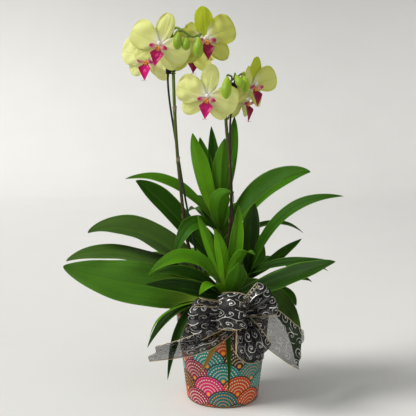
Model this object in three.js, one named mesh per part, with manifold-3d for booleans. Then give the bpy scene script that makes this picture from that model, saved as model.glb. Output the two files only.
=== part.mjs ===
// Potted orchid with a leafy companion plant and a ribbon bow, at real size.
// Millimetres, +Z up. The origin is the centre of the pot's underside, the viewer stands at -Y.
// Heights in the tables below are taken from a datum that lies FOOT below the pot's underside.
// Every named mesh is one closed solid: pot, potting mix, each leafy shoot, each flower spike,
// each flower's tepals, each flower's lip, stakes, clips, tie and the pieces of the ribbon.

import * as THREE from 'three';
import { mergeVertices } from 'three/addons/utils/BufferGeometryUtils.js';
import Module from 'manifold-3d';

const wasm = await Module();
wasm.setup();

// ---------------------------------------------------------------- driving dimensions

const GAP = 0.3;                      // clearance between pieces that touch

const FOOT = 7.5;                     // height of the pot's underside over the tables' datum

const POT = {
  height: 132.5,
  baseRadius: 52.7,                   // outer radius at the underside, before the corner is rounded
  taper: 0.119,                       // growth of the radius per millimetre of height
  wall: 4.5,
  floor: 6,
  corner: 6.5,
  sides: 28,
};
const RIM = FOOT + POT.height;

const MIX = { top: 125, crown: 4 };

const LEAF = { thickness: 0.9, rows: 5, columns: 2 };
const ORCHID_LEAF = { thickness: 2, rows: 8, columns: 2 };

const STAKE_RADIUS = 1.5;
const SPIKE_RADIUS = 2.2;
const PEDICEL_RADIUS = 1.3;

const FLOWER = {
  hub: 4,                             // radius of the ball that carries the tepals
  tepal: 1,                           // thickness
  setBack: 4,                         // how far the sepals lie behind the petals
  petal: { length: 43, width: 41, rows: 5 },
  dorsal: { length: 43, width: 26, rows: 4 },
  lateral: { length: 40, width: 26, rows: 4 },
};

const TIE = { reach: 3.7, cord: 0.7, knot: 2 };

const RIBBON = { width: 63.5, thickness: 0.9, pinch: 11 };

// ---------------------------------------------------------------- helpers

const group = new THREE.Group();

const point = (xyz) => new THREE.Vector3(...xyz);
const radians = THREE.MathUtils.degToRad;
const within = (t) => THREE.MathUtils.clamp(t, 0, 1);

function solidOf(geometry) {
  const bare = geometry.clone();
  bare.deleteAttribute('normal');
  bare.deleteAttribute('uv');
  const merged = mergeVertices(bare, 1e-4);
  const positions = merged.getAttribute('position').array;
  const index = merged.getIndex().array;
  const mesh = { numProp: 3, vertProperties: Float32Array.from(positions), triVerts: Uint32Array.from(index) };
  return new wasm.Manifold(new wasm.Mesh(mesh));
}

function geometryOf(solid) {
  const mesh = solid.getMesh();
  const geometry = new THREE.BufferGeometry();
  geometry.setAttribute('position', new THREE.BufferAttribute(Float32Array.from(mesh.vertProperties), 3));
  geometry.setIndex(new THREE.BufferAttribute(Uint32Array.from(mesh.triVerts), 1));
  geometry.computeVertexNormals();
  return geometry;
}

function fuse(geometries) {
  return geometryOf(geometries.map(solidOf).reduce((sum, solid) => sum.add(solid)));
}

function addPart(name, geometry, color, roughness = 0.6) {
  geometry.translate(0, 0, -FOOT);
  const mesh = new THREE.Mesh(geometry, new THREE.MeshStandardMaterial({ color, roughness, metalness: 0 }));
  mesh.name = name;
  group.add(mesh);
  return mesh;
}

function signedVolume(positions, index) {
  let sum = 0;
  const corner = (k) => new THREE.Vector3().fromArray(positions, 3 * index[k]);
  for (let k = 0; k < index.length; k += 3) {
    sum += corner(k).dot(corner(k + 1).cross(corner(k + 2)));
  }
  return sum;
}

// A closed sheet: place(t, u) is its middle surface for t in 0..1 and u in -1..1. Both faces are
// split into triangles along the same diagonals, so they never cross.
function sheet(rows, columns, thickness, place) {
  const positions = [];
  const index = [];
  const step = 1e-3;
  const stride = columns + 1;
  const count = (rows + 1) * stride;
  for (const face of [0.5, -0.5]) {
    for (let i = 0; i <= rows; i += 1) {
      for (let j = 0; j <= columns; j += 1) {
        const t = i / rows;
        const u = (2 * j) / columns - 1;
        const alongT = place(t + step, u).sub(place(t - step, u));
        const alongU = place(t, u + step).sub(place(t, u - step));
        const normal = alongT.cross(alongU).normalize();
        positions.push(...place(t, u).addScaledVector(normal, face * thickness).toArray());
      }
    }
  }
  const quad = (a, b, c, d) => index.push(a, b, c, a, c, d);
  for (let i = 0; i < rows; i += 1) {
    for (let j = 0; j < columns; j += 1) {
      const a = i * stride + j;
      const b = a + stride;
      index.push(a, b, b + 1, a, b + 1, a + 1);
      index.push(a + count, b + 1 + count, b + count, a + count, a + 1 + count, b + 1 + count);
    }
  }
  for (let i = 0; i < rows; i += 1) {
    const a = i * stride;
    const b = a + stride;
    quad(b, a, a + count, b + count);
    quad(a + columns, b + columns, b + columns + count, a + columns + count);
  }
  for (let j = 0; j < columns; j += 1) {
    const last = rows * stride + j;
    quad(j, j + 1, j + 1 + count, j + count);
    quad(last + 1, last, last + count, last + 1 + count);
  }
  if (signedVolume(positions, index) < 0) index.reverse();
  const geometry = new THREE.BufferGeometry();
  geometry.setAttribute('position', new THREE.Float32BufferAttribute(positions, 3));
  geometry.setIndex(index);
  return geometry;
}

// A round bar along a smooth curve through the points.
function bar(points, radius, sides = 6, steps = 3 * points.length) {
  const ring = new THREE.Shape();
  for (let k = 0; k < sides; k += 1) {
    const angle = (2 * Math.PI * k) / sides;
    const x = radius * Math.cos(angle);
    const y = radius * Math.sin(angle);
    if (k === 0) ring.moveTo(x, y);
    else ring.lineTo(x, y);
  }
  const path = new THREE.CatmullRomCurve3(points.map(point));
  return new THREE.ExtrudeGeometry(ring, { steps, bevelEnabled: false, extrudePath: path });
}

function ball(centre, radius, stretch = [1, 1, 1], detail = [8, 6]) {
  const sphere = new THREE.SphereGeometry(radius, ...detail);
  sphere.rotateX(Math.PI / 2);
  return sphere.scale(...stretch).translate(...centre);
}

// ---------------------------------------------------------------- blades

// Width of a blade along its length: rises as (t + shift)^rise, falls as (1 - t)^fall, peak 1.
function outline(rise, fall, shift) {
  const peak = (rise - fall * shift) / (rise + fall);
  const value = (t) => (t + shift) ** rise * (1 - t) ** fall;
  return (t) => Math.max(0.05, value(within(t)) / value(peak));
}

const LANCE = outline(0.75, 0.75, 0.04);
const STRAP = outline(0.5, 0.6, 0.05);
const PETAL = outline(0.7, 0.38, 0.02);
const SEPAL = outline(0.6, 0.5, 0.04);
// The lip's middle lobe: a narrow claw, widest at a third, then nearly straight edges to a point.
const KITE = (t) => THREE.MathUtils.clamp(Math.min(0.24 + 0.78 * (within(t) / 0.34) ** 1.3, (1.02 - within(t)) / 0.68), 0.06, 0.98);

// Three points: a quadratic curve that passes through the middle one. Four: a cubic curve's
// control points.
function midrib(points) {
  const [start, second, third, end] = points.map(point);
  if (end) return new THREE.CubicBezierCurve3(start, second, third, end);
  const control = second.clone().multiplyScalar(2).sub(start.clone().add(third).multiplyScalar(0.5));
  return new THREE.QuadraticBezierCurve3(start, control, third);
}

// A point on the curve, carried straight on a little past its ends so that slopes can be taken.
function along(curve, t, scale) {
  const inside = within(t);
  return curve.getPoint(inside).addScaledVector(curve.getTangent(inside), (t - inside) * scale);
}

// A leaf along its midrib. Its width runs level, square to its travel, unless 'facing' gives the
// compass angle of the width. 'roll' turns the edge nearer the viewer down, 'fold' raises both
// edges over the midrib, 'wave' ripples them.
function leaf({ points, width, facing, roll = 0, twist = 0, fold = 0.3, wave = 0 }, kind = LEAF, shape = LANCE) {
  const curve = midrib(points);
  const travel = point(points.at(-1)).sub(point(points[0]));
  const level = new THREE.Vector3(-travel.y, travel.x, 0).normalize();
  if (level.y > 0) level.negate();
  if (facing !== undefined) level.set(Math.cos(radians(facing)), Math.sin(radians(facing)), 0);
  const frame = (t) => {
    const tangent = curve.getTangent(within(t));
    const side = level.clone().addScaledVector(tangent, -level.dot(tangent)).normalize();
    return { side, up: tangent.clone().cross(side) };
  };
  const flip = frame(0.4).up.z < 0 ? -1 : 1;
  const place = (t, u) => {
    const { side, up } = frame(t);
    up.multiplyScalar(flip);
    const angle = radians(roll + twist * t);
    const across = side.clone().multiplyScalar(Math.cos(angle)).addScaledVector(up, -Math.sin(angle));
    const over = up.clone().multiplyScalar(Math.cos(angle)).addScaledVector(side, Math.sin(angle));
    const half = (width / 2) * shape(t);
    const ripple = wave * Math.sin(9 * t + 2 * u) * Math.abs(u);
    const lift = fold * half * Math.abs(u) ** 1.4 + half * ripple;
    return along(curve, t, width).addScaledVector(across, half * u).addScaledVector(over, lift);
  };
  return sheet(kind.rows, kind.columns, kind.thickness, place);
}

// ---------------------------------------------------------------- pot and potting mix

const potRadius = (z) => POT.baseRadius + POT.taper * (z - FOOT);

function potSolid() {
  const profile = [[0, FOOT]];
  const centre = potRadius(FOOT + POT.corner) - POT.corner;
  for (const angle of [0, 30, 60, 90]) {
    const turn = radians(angle);
    profile.push([centre + POT.corner * Math.sin(turn), FOOT + POT.corner * (1 - Math.cos(turn))]);
  }
  const top = potRadius(RIM);
  profile.push([top, RIM - 1.5], [top - 1.2, RIM], [top - POT.wall + 1.2, RIM]);
  profile.push([top - POT.wall, RIM - 1.5]);
  profile.push([potRadius(FOOT + POT.floor) - POT.wall, FOOT + POT.floor], [0, FOOT + POT.floor]);
  return turned(profile);
}

function turned(profile) {
  const lathe = new THREE.LatheGeometry(profile.map(([r, z]) => new THREE.Vector2(r, z)), POT.sides);
  return lathe.rotateX(Math.PI / 2);
}

const STEMS = {
  orchid: { radius: 8, points: [[-30, 6, 95], [-30, 6, 150], [-29, 6, 192]] },
  upright: { radius: 5, points: [[-4, 18, 95], [-6, 17, 200], [-5, 14, 286]] },
  front: { radius: 4.5, points: [[3, -34, 95], [3, -35, 150], [4, -37, 186]] },
  right: { radius: 5, points: [[37, 18, 95], [37, 14, 160], [35, 9, 202]] },
  back: { radius: 4.5, points: [[10, 42, 95], [10, 43, 160], [9, 44, 212]] },
  trailing: { radius: 3.5, points: [[-32, -36, 95], [-32, -36, 140], [-33, -36, 164]] },
};

const SPIKES = {
  left: [[-17, -12, 95], [-19, -10, 140], [-27, -8, 178], [-42, -10, 215], [-52, -12, 248], [-57, -12, 285],
    [-61, -11, 321], [-65, -10, 364], [-68, -9, 407], [-70, -8, 450], [-71, -4, 482], [-72, 1, 508],
    [-73, 0, 530], [-72, -12, 546], [-66, -26, 550], [-58, -38, 546], [-43, -40, 537], [-31, -41, 541]],
  right: [[-4, -5, 95], [-3, -5, 150], [3, -5, 205], [9, -6, 250], [12, -7, 290], [11, -8, 341], [8, -6, 378],
    [5, -2, 407], [4, 5, 432], [7, 8, 455], [8, 4, 468], [12, -6, 478], [18, -16, 481]],
};

const STAKES = {
  left: [[-9, -27, 95], [-14, -25, 130], [-25, -22, 176], [-38, -18, 226], [-48, -14, 275], [-57, -3, 320],
    [-64, 2, 363], [-71, 2, 407], [-77, -3, 450], [-79, -5, 478], [-78, -6, 500]],
  right: [[16, -12, 95], [15, -12, 174], [15, -13, 233], [14, -14, 282], [12, -14, 307], [11, -14, 342],
    [10, -14, 379], [10, -12, 420], [12.5, -7, 440], [14.5, -3, 458], [17, 2, 482]],
};

function mixSolid() {
  const inner = (z) => potRadius(z) - POT.wall - GAP;
  const low = FOOT + POT.floor + GAP;
  const profile = [[0, low], [inner(low), low], [inner(MIX.top), MIX.top], [0, MIX.top + MIX.crown]];
  let solid = solidOf(turned(profile));
  const holes = Object.values(STEMS).map(({ radius, points }) => [points, radius]);
  holes.push(...Object.values(SPIKES).map((points) => [points, SPIKE_RADIUS]));
  holes.push(...Object.values(STAKES).map((points) => [points, STAKE_RADIUS]));
  for (const [points, radius] of holes) {
    const [first, second] = points.map(point);
    const foot = first.clone().addScaledVector(second.clone().sub(first).normalize(), -GAP).toArray();
    solid = solid.subtract(solidOf(bar([foot, ...points.slice(1, 3)], radius + 2 * GAP, 6, 4)));
  }
  return geometryOf(solid);
}

// ---------------------------------------------------------------- leafy shoots

const ORCHID_LEAVES = [
  { points: [[-30, 4, 168], [-132, -38, 189], [-229, -36, 214]], width: 66, roll: 58, fold: 0.12 },
  { points: [[-30, 6, 182], [-144, 4, 221], [-229, -8, 216]], width: 52, roll: 15, fold: 0.2 },
  { points: [[-29, 8, 190], [-122, 25, 252], [-199, 10, 255]], width: 58, roll: 28, fold: 0.2 },
  { points: [[-30, 6, 150], [35, 3, 180], [113, -6, 189], [107, -46, 70]], width: 42, roll: 92, fold: 0.1 },
  { points: [[-30, 8, 164], [-92, 46, 206], [-140, 84, 196]], width: 48, roll: 0, fold: 0.2 },
  { points: [[-29, 8, 176], [-52, 66, 212], [-64, 122, 200]], width: 40, roll: 0, fold: 0.2 },
];

const UPRIGHT_LEAVES = [
  { points: [[-5, 14, 270], [-32, 0, 346], [-44, -10, 403]], width: 27, facing: -20 },
  { points: [[-5, 15, 274], [-25, 28, 349], [-34, 38, 394]], width: 22, facing: 35 },
  { points: [[-5, 15, 280], [-13, 34, 352], [-17, 44, 410]], width: 20, facing: 20 },
  { points: [[-5, 14, 276], [-3, 3, 346], [3, 5, 395]], width: 25, facing: 0 },
  { points: [[-5, 15, 278], [13, 22, 368], [17, 30, 425]], width: 20, facing: -20 },
  { points: [[-5, 14, 258], [-6, -16, 303], [11, -28, 321]], width: 29, facing: -10 },
  { points: [[-5, 15, 266], [-72, 8, 327], [-142, 0, 336]], width: 19, roll: 45 },
  { points: [[-5, 16, 254], [-43, -25, 273], [-70, -37, 229]], width: 24, roll: 35 },
  { points: [[-5, 16, 250], [-28, 38, 290], [-37, 54, 305]], width: 16, roll: 20 },
  { points: [[-5, 16, 240], [66, 8, 319], [126, -10, 347]], width: 48, roll: 42 },
  { points: [[-5, 17, 205], [-82, 16, 291], [-128, 12, 332]], width: 38, roll: 50 },
  { points: [[-5, 17, 225], [66, 38, 262], [121, 34, 251]], width: 18, roll: 10 },
  { points: [[-5, 17, 244], [24, 58, 284], [42, 98, 276]], width: 26, roll: 0 },
  { points: [[-5, 16, 250], [-30, 52, 280], [-52, 88, 276]], width: 24, roll: 0 },
];

const FRONT_LEAVES = [
  { points: [[4, -36, 178], [-48, -50, 229], [-106, -64, 207]], width: 26, roll: 42 },
  { points: [[4, -37, 183], [-19, -38, 243], [-37, -40, 289]], width: 15, facing: 0 },
  { points: [[4, -37, 180], [-2, -48, 232], [-13, -53, 272]], width: 18, facing: 0 },
  { points: [[4, -36, 181], [18, -34, 244], [22, -31, 302]], width: 20, facing: 0 },
  { points: [[4, -37, 176], [22, -56, 231], [44, -70, 237]], width: 18, facing: 10 },
  { points: [[4, -36, 172], [18, -62, 199], [21, -73, 228]], width: 28, facing: 0 },
  { points: [[4, -36, 165], [-52, -62, 187], [-109, -76, 196]], width: 28, roll: 42 },
  { points: [[4, -36, 168], [-15, -68, 193], [-34, -86, 184]], width: 23 },
  { points: [[4, -36, 170], [-48, -38, 203], [-95, -44, 206]], width: 20, roll: 45 },
  { points: [[4, -36, 162], [98, -46, 201], [157, -62, 226]], width: 33, roll: 40 },
];

const RIGHT_LEAVES = [
  { points: [[36, 9, 194], [41, -8, 258], [45, -20, 303]], width: 27, facing: 10 },
  { points: [[36, 10, 190], [88, -25, 286], [168, -50, 317]], width: 20, roll: 60 },
  { points: [[36, 12, 184], [82, 18, 216], [118, 22, 244]], width: 18, roll: 40 },
  { points: [[36, 12, 184], [53, 26, 212], [59, 36, 239]], width: 20, facing: 10 },
  { points: [[36, 10, 194], [88, -24, 216], [152, -40, 223]], width: 16, roll: 40 },
  { points: [[37, 14, 162], [87, 10, 164], [109, 4, 146]], width: 22, roll: 45 },
  { points: [[36, 13, 172], [113, 40, 196], [161, 46, 190]], width: 13, roll: 30 },
  { points: [[37, 14, 165], [102, 34, 180], [136, 40, 174]], width: 13, roll: 30 },
  { points: [[36, 12, 181], [70, 44, 204], [100, 72, 194]], width: 22 },
  { points: [[36, 11, 190], [50, 56, 232], [58, 90, 236]], width: 20 },
];

const BACK_LEAVES = [
  { points: [[9, 44, 204], [3, 66, 262], [-4, 80, 300]], width: 18, facing: 10 },
  { points: [[9, 44, 200], [-30, 76, 246], [-62, 100, 246]], width: 22 },
  { points: [[9, 44, 196], [34, 84, 240], [52, 118, 236]], width: 22 },
  { points: [[9, 44, 188], [72, 82, 200], [120, 104, 170]], width: 22 },
  { points: [[10, 43, 178], [6, 98, 190], [4, 138, 158]], width: 24 },
  { points: [[10, 43, 172], [-48, 86, 176], [-80, 112, 142]], width: 20 },
  { points: [[10, 43, 166], [56, 86, 164], [84, 112, 128]], width: 20 },
];

const TRAILING_LEAVES = [
  { points: [[-33, -36, 160], [-76, -52, 146], [-108, -60, 101]], width: 14, roll: 40 },
  { points: [[-33, -36, 156], [-62, -52, 127], [-80, -50, 50]], width: 13, roll: 55 },
  { points: [[-33, -36, 162], [-82, -56, 150], [-104, -62, 118]], width: 4, roll: 20 },
];

const HANGING_LEAVES = [
  { points: [[3, -35, 148], [-2, -78, 200], [12, -84, 104], [7, -66, 34]], width: 8, facing: 0 },
  { points: [[3, -35, 142], [-2, -71, 192], [1, -86, 112], [-36, -60, 62]], width: 12, facing: -10 },
];

// A leaf is rooted just inside its stem, on the side that it grows towards.
function rooted(entry, radius) {
  const [start, ...rest] = entry.points;
  const away = point(rest.at(-1)).sub(point(start)).setZ(0).setLength(0.6 * radius);
  return { ...entry, points: [point(start).add(away).toArray(), ...rest] };
}

function shoot(stem, leaves) {
  return fuse([bar(stem.points, stem.radius, 6, 4), ...leaves.map((entry) => leaf(rooted(entry, stem.radius)))]);
}

function orchidLeaves() {
  const stem = STEMS.orchid;
  const blades = ORCHID_LEAVES.map((entry) => leaf(rooted(entry, stem.radius), ORCHID_LEAF, STRAP));
  return fuse([bar(stem.points, stem.radius, 6, 4), ...blades]);
}

// ---------------------------------------------------------------- flowers

// Where each flower's centre is, the way it faces, how far its top leans to the right, its size,
// how far its right and left petals stand from its top, and how far its tepals still close.
const FLOWERS = {
  a: { centre: [-89, -26, 528], facing: [-0.12, -1, -0.05], lean: 18, size: 1, fan: [95, -80] },
  b: { centre: [-109, 26, 510], facing: [-0.4, -0.9, -0.15], lean: 8, size: 1 },
  c: { centre: [-25, -12, 536], facing: [0.2, -1, 0.05], lean: -4, size: 1.04, fan: [72, -104] },
  d: { centre: [-46, 48, 520], facing: [0.25, 1, -0.1], lean: 0, size: 0.95 },
  e: { centre: [-23, -36, 456], facing: [-0.05, -1, -0.1], lean: 9, size: 1, fan: [98, -82] },
  f: { centre: [42, 22, 471], facing: [0.72, -0.68, 0.05], lean: 8, size: 0.92, fan: [66, -84], cup: 30 },
  g: { centre: [32, 40, 450], facing: [0.85, -0.53, -0.15], lean: 0, size: 0.9, fan: [50, -110] },
};

function flowerBasis({ centre, facing, lean, size, fan = [84, -84], cup = 0 }) {
  const forward = point(facing).normalize();
  const right = forward.clone().cross(new THREE.Vector3(0, 0, 1)).negate().normalize();
  const up = right.clone().cross(forward).negate();
  if (up.z < 0) up.negate();
  const angle = radians(lean);
  const top = up.clone().multiplyScalar(Math.cos(angle)).addScaledVector(right, Math.sin(angle));
  const beside = right.clone().multiplyScalar(Math.cos(angle)).addScaledVector(up, -Math.sin(angle));
  return { origin: point(centre), right: beside, up: top, forward, size, fan, cup };
}

// One tepal: 'angle' is measured clockwise from the flower's top, 'depth' sets it back, and 'close'
// turns it forwards. It is broader on its upper side.
function tepal(basis, angle, { length, width, rows }, shape, depth = 0, close = 0) {
  const turn = radians(angle);
  const bend = radians(close);
  const direction = basis.up.clone().multiplyScalar(Math.cos(turn)).addScaledVector(basis.right, Math.sin(turn));
  const across = basis.right.clone().multiplyScalar(Math.cos(turn)).addScaledVector(basis.up, -Math.sin(turn));
  const slant = 0.12 * Math.sign(Math.sin(turn));
  return sheet(rows, 2, FLOWER.tepal, (t, u) => {
    const inside = within(t);
    const half = basis.size * (width / 2) * shape(inside) * (1 - slant * u);
    const rise = 5 * inside - 8 * inside * inside - depth * (1 + Math.sqrt(inside)) / 2 - 0.06 * half * u * u;
    const reach = 3 + basis.size * (length - 2) * t;
    const spot = basis.origin.clone().addScaledVector(across, half * u);
    spot.addScaledVector(direction, reach * Math.cos(bend) - rise * Math.sin(bend));
    return spot.addScaledVector(basis.forward, rise * Math.cos(bend) + reach * Math.sin(bend));
  });
}

function flowerTepals(basis) {
  const local = (right, up, forward) => basis.origin.clone().addScaledVector(basis.right, right)
    .addScaledVector(basis.up, up).addScaledVector(basis.forward, forward).toArray();
  const pieces = [ball(basis.origin.toArray(), FLOWER.hub, [1, 1, 1], [6, 5])];
  pieces.push(...basis.fan.map((angle) => tepal(basis, angle, FLOWER.petal, PETAL, 0, basis.cup)));
  pieces.push(tepal(basis, 0, FLOWER.dorsal, SEPAL, FLOWER.setBack, 0.7 * basis.cup));
  pieces.push(tepal(basis, 134, FLOWER.lateral, SEPAL, FLOWER.setBack));
  pieces.push(tepal(basis, -134, FLOWER.lateral, SEPAL, FLOWER.setBack));
  pieces.push(bar([local(0, 0, 0), local(0, 1.8, 9)], 2.6, 6, 1));
  return fuse(pieces);
}

// The lip: two side lobes that rise beside the column and a pointed middle lobe that hangs.
function flowerLip(basis) {
  const local = (right, up, forward) => basis.origin.clone().addScaledVector(basis.right, right)
    .addScaledVector(basis.up, up).addScaledVector(basis.forward, forward);
  const reach = FLOWER.hub + GAP + 2.3;
  const seat = [0, -0.8 * reach, 0.6 * reach];
  const lobe = (rows, points, width, shape, direction) => {
    const curve = midrib(points);
    const across = point(direction).normalize();
    return sheet(rows, 2, FLOWER.tepal, (t, u) => {
      const spot = along(curve, t, width).addScaledVector(across, (width / 2) * shape(t) * u);
      return local(spot.x, spot.y, spot.z);
    });
  };
  const middle = lobe(4, [[0, -6.2, 4.8], [0, -18, 10], [0, -30.5, 11]], 20, KITE, [1, 0, 0]);
  const sides = [-1, 1].map((way) => lobe(2, [[way * 0.5, -5.5, 4.5], [way * 6.5, -5.5, 9.5], [way * 12, -2.5, 12]],
    9, SEPAL, [0, 0.6, 0.8]));
  return fuse([ball(local(...seat).toArray(), 2.2, [1, 1, 1], [6, 4]), middle, ...sides]);
}

// ---------------------------------------------------------------- spikes with buds, stakes, ties

const BUDS = {
  left: [
    { stalk: [[-57, -37.5, 545], [-62, -44, 544]], end: [-64, -48, 522], width: 13 },
    { stalk: [[-46, -39, 538], [-51, -44, 536]], end: [-52, -48, 521], width: 12 },
    { stalk: [[-31, -41, 541], [-34, -45, 537]], end: [-36, -50, 512], width: 14 },
  ],
  right: [
    { stalk: [[12, -6, 478], [11, -28, 483], [4.5, -46, 484]], end: [3, -57, 455], width: 15 },
    { stalk: [[15, -12, 480], [16, -30, 487], [16, -38, 485]], end: [25, -47, 470], width: 12 },
    { stalk: [[18, -16, 481], [26, -27, 487], [29, -31, 485]], end: [31, -34, 463], width: 13 },
  ],
};

// A pointed egg from the end of its stalk to its tip.
function bud({ stalk, end, width }) {
  const start = point(stalk.at(-1));
  const tip = point(end);
  const length = start.distanceTo(tip) + 3;
  const profile = [[0, 0]];
  for (let k = 1; k < 5; k += 1) {
    const t = k / 5;
    profile.push([(width / 2) * Math.sin(Math.PI * t ** 1.5) ** 0.62, length * t]);
  }
  profile.push([0, length]);
  const egg = new THREE.LatheGeometry(profile.map(([r, z]) => new THREE.Vector2(r, z)), 6);
  const turn = new THREE.Quaternion().setFromUnitVectors(new THREE.Vector3(0, 1, 0), tip.clone().sub(start).normalize());
  egg.applyQuaternion(turn).translate(...start.toArray());
  return [egg, bar([...stalk, start.clone().lerp(tip, 0.2).toArray()], PEDICEL_RADIUS, 4, 3)];
}

const PEDICELS = {
  left: {
    a: [[-71, -1, 500], [-80, -3, 515]],
    b: [[-73, 1, 532], [-84, 26, 541]],
    c: [[-72, 1, 512], [-44, 12, 520]],
    d: [[-73, 1, 526], [-60, 16, 531]],
  },
  right: { e: [[4, 2, 422]], f: [[7, 8, 456], [26, 22, 472]], g: [[4, 4, 424], [8, 34, 422]] },
};

function spike(side) {
  const pieces = [bar(SPIKES[side], SPIKE_RADIUS, 6, 26)];
  for (const entry of BUDS[side]) pieces.push(...bud(entry));
  for (const [name, route] of Object.entries(PEDICELS[side])) {
    const { origin, forward } = flowerBasis(FLOWERS[name]);
    const end = origin.clone().addScaledVector(forward, -FLOWER.hub - GAP);
    const bend = origin.clone().addScaledVector(forward, -FLOWER.hub - 10);
    pieces.push(bar([...route, bend.toArray(), end.toArray()], PEDICEL_RADIUS, 4, 6));
  }
  return fuse(pieces);
}

// Where a stem's centre line is at a height.
function atHeight(points, z) {
  const samples = new THREE.CatmullRomCurve3(points.map(point)).getPoints(400);
  return samples.find((sample) => sample.z >= z).toArray();
}

// A clip that rings a stem and its stake: two short sleeves side by side, joined by a web.
function clip(side, z, reach) {
  const bores = [];
  const bodies = [];
  for (const [points, radius] of [[SPIKES[side], SPIKE_RADIUS], [STAKES[side], STAKE_RADIUS]]) {
    const stations = (half) => [-1, -0.5, 0, 0.5, 1].map((share) => atHeight(points, z + share * half));
    bodies.push(bar(stations(reach / 2), radius + 2.8, 6, 2));
    bores.push(bar(stations(reach / 2 + 3), radius + 5 * GAP, 6, 6));
  }
  const ends = [SPIKES[side], STAKES[side]].map((points) => atHeight(points, z));
  const body = [...bodies, bar(ends, reach / 3, 6, 1)].map(solidOf).reduce((sum, solid) => sum.add(solid));
  return geometryOf(bores.map(solidOf).reduce((rest, bore) => rest.subtract(bore), body));
}

// The tie round the right spike and its stake: an oval ring with a knot at the front.
function tie(z) {
  const [stem, stake] = [SPIKES.right, STAKES.right].map((points) => point(atHeight(points, z)));
  const middle = stem.clone().lerp(stake, 0.5);
  const spread = stem.distanceTo(stake) / 2;
  const ring = new THREE.TorusGeometry(1, 0.16, 5, 14).scale(TIE.reach, spread + TIE.reach, TIE.cord / 0.16);
  ring.translate(...middle.toArray());
  const knot = [middle.x + 1, middle.y - spread - TIE.reach - 0.6, z];
  return fuse([ring, ball(knot, TIE.knot, [1, 1, 1], [6, 4])]);
}

// ---------------------------------------------------------------- ribbon

// The band lies on the pot. It hangs low at the sides and is drawn up into a notch at the front,
// which falls slowly to the left and steeply to the right.
function band() {
  const positions = [];
  const index = [];
  const notch = Math.atan2(-1, 0.04);
  for (let k = 0; k < POT.sides; k += 1) {
    const angle = (2 * Math.PI * k) / POT.sides - Math.PI / 2;
    const off = Math.atan2(Math.sin(angle - notch), Math.cos(angle - notch));
    const spread = off < 0 ? 0.55 : 0.24;
    const low = 75 - 5 * Math.sin(off) + 50 * Math.exp(-((Math.abs(off) / spread) ** 1.2));
    const high = RIM - 3;
    for (const [z, lift] of [[low, GAP], [low, GAP + RIBBON.thickness], [high, GAP + RIBBON.thickness], [high, GAP]]) {
      const radius = potRadius(z) + lift;
      positions.push(radius * Math.cos(angle), radius * Math.sin(angle), z);
    }
    for (let corner = 0; corner < 4; corner += 1) {
      const a = 4 * k + corner;
      const b = 4 * k + ((corner + 1) % 4);
      const c = 4 * ((k + 1) % POT.sides) + corner;
      const d = 4 * ((k + 1) % POT.sides) + ((corner + 1) % 4);
      index.push(a, c, d, a, d, b);
    }
  }
  if (signedVolume(positions, index) < 0) index.reverse();
  const geometry = new THREE.BufferGeometry();
  geometry.setAttribute('position', new THREE.Float32BufferAttribute(positions, 3));
  geometry.setIndex(index);
  return geometry;
}

const KNOT = {
  centre: [24, -86, 157],
  radius: 7.5,
  neck: [[24, -86, 157], [22, -77, 145], [17, -64, 131]],
  neckRadius: 4,
};

// The knot with the neck of gathered ribbon that joins it to the band. 'spare' is added all round.
function knotSolid(spare = 0) {
  const head = solidOf(ball(KNOT.centre, KNOT.radius + spare, [1, 1, 1.1]));
  const neck = solidOf(bar(KNOT.neck, KNOT.neckRadius + spare, 6, 4));
  const bandRadius = (z) => potRadius(z) + 2 * GAP + RIBBON.thickness;
  const inside = turned([[0, 0], [bandRadius(0), 0], [bandRadius(RIM), RIM], [0, RIM]]);
  return head.add(neck).subtract(solidOf(inside));
}

// A piece of ribbon cut back to its seat round the knot.
function seated(geometry) {
  const pieces = solidOf(geometry).subtract(knotSolid(GAP)).decompose();
  return geometryOf(pieces.sort((a, b) => b.volume() - a.volume())[0]);
}

// Each loop leaves the knot along 'out', is as wide as the ribbon along 'across', and opens square
// to both by 'gape'. 'shift' moves its root over the knot.
const LOOPS = {
  left: { out: [-0.95, 0, -0.2], across: [-0.1, -0.1, 1], length: 71, gape: 7, shift: [-1, -3, 1] },
  left_back: { out: [-0.96, 0.03, -0.08], across: [0.1, -0.1, 1], length: 66, gape: 4.5, shift: [0, 5.5, 2] },
  centre: { out: [-0.5, -0.86, 0.35], across: [0, 0.15, 1], length: 44, gape: 24, shift: [1, -4.5, 1] },
  right_upper: { out: [0.8, -0.12, 0.5], across: [-0.5, -0.1, 0.8], length: 48, gape: 10, shift: [1, -2, 2] },
  right_lower: { out: [0.3, -0.3, -0.9], across: [0.95, 0.1, 0.22], length: 54, gape: 12, shift: [3, -1, -3] },
};

function loop({ out, across, length, gape, shift }) {
  const centre = point(KNOT.centre).add(point(shift));
  const away = point(out).normalize();
  const wide = point(across);
  wide.addScaledVector(away, -wide.dot(away)).normalize();
  const open = away.clone().cross(wide);
  const start = radians(22);
  return sheet(10, 2, RIBBON.thickness, (t, u) => {
    const angle = start + (2 * Math.PI - 2 * start) * t;
    const reach = (1 - Math.cos(angle)) / 2;
    const half = (RIBBON.pinch + (0.8 * RIBBON.width - RIBBON.pinch) * reach ** 0.6) / 2;
    const spot = centre.clone().addScaledVector(away, 2 + length * reach);
    spot.addScaledVector(open, gape * Math.sin(angle) * Math.sqrt(reach + 0.06));
    return spot.addScaledVector(wide, half * u);
  });
}

const TAILS = {
  ribbon_tail_left: {
    points: [[22, -80, 146], [-22, -84, 111], [-62, -72, 102], [-110, -60, 91]],
    widths: [9, 32, 19],
    across: [-0.2, 0.4, 0.87],
  },
  ribbon_wing_right: {
    points: [[28, -77, 151], [60, -79, 149], [84, -80, 116], [116, -66, 96]],
    widths: [11, 58, 54],
    across: [0.32, -0.1, 0.94],
  },
};

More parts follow.
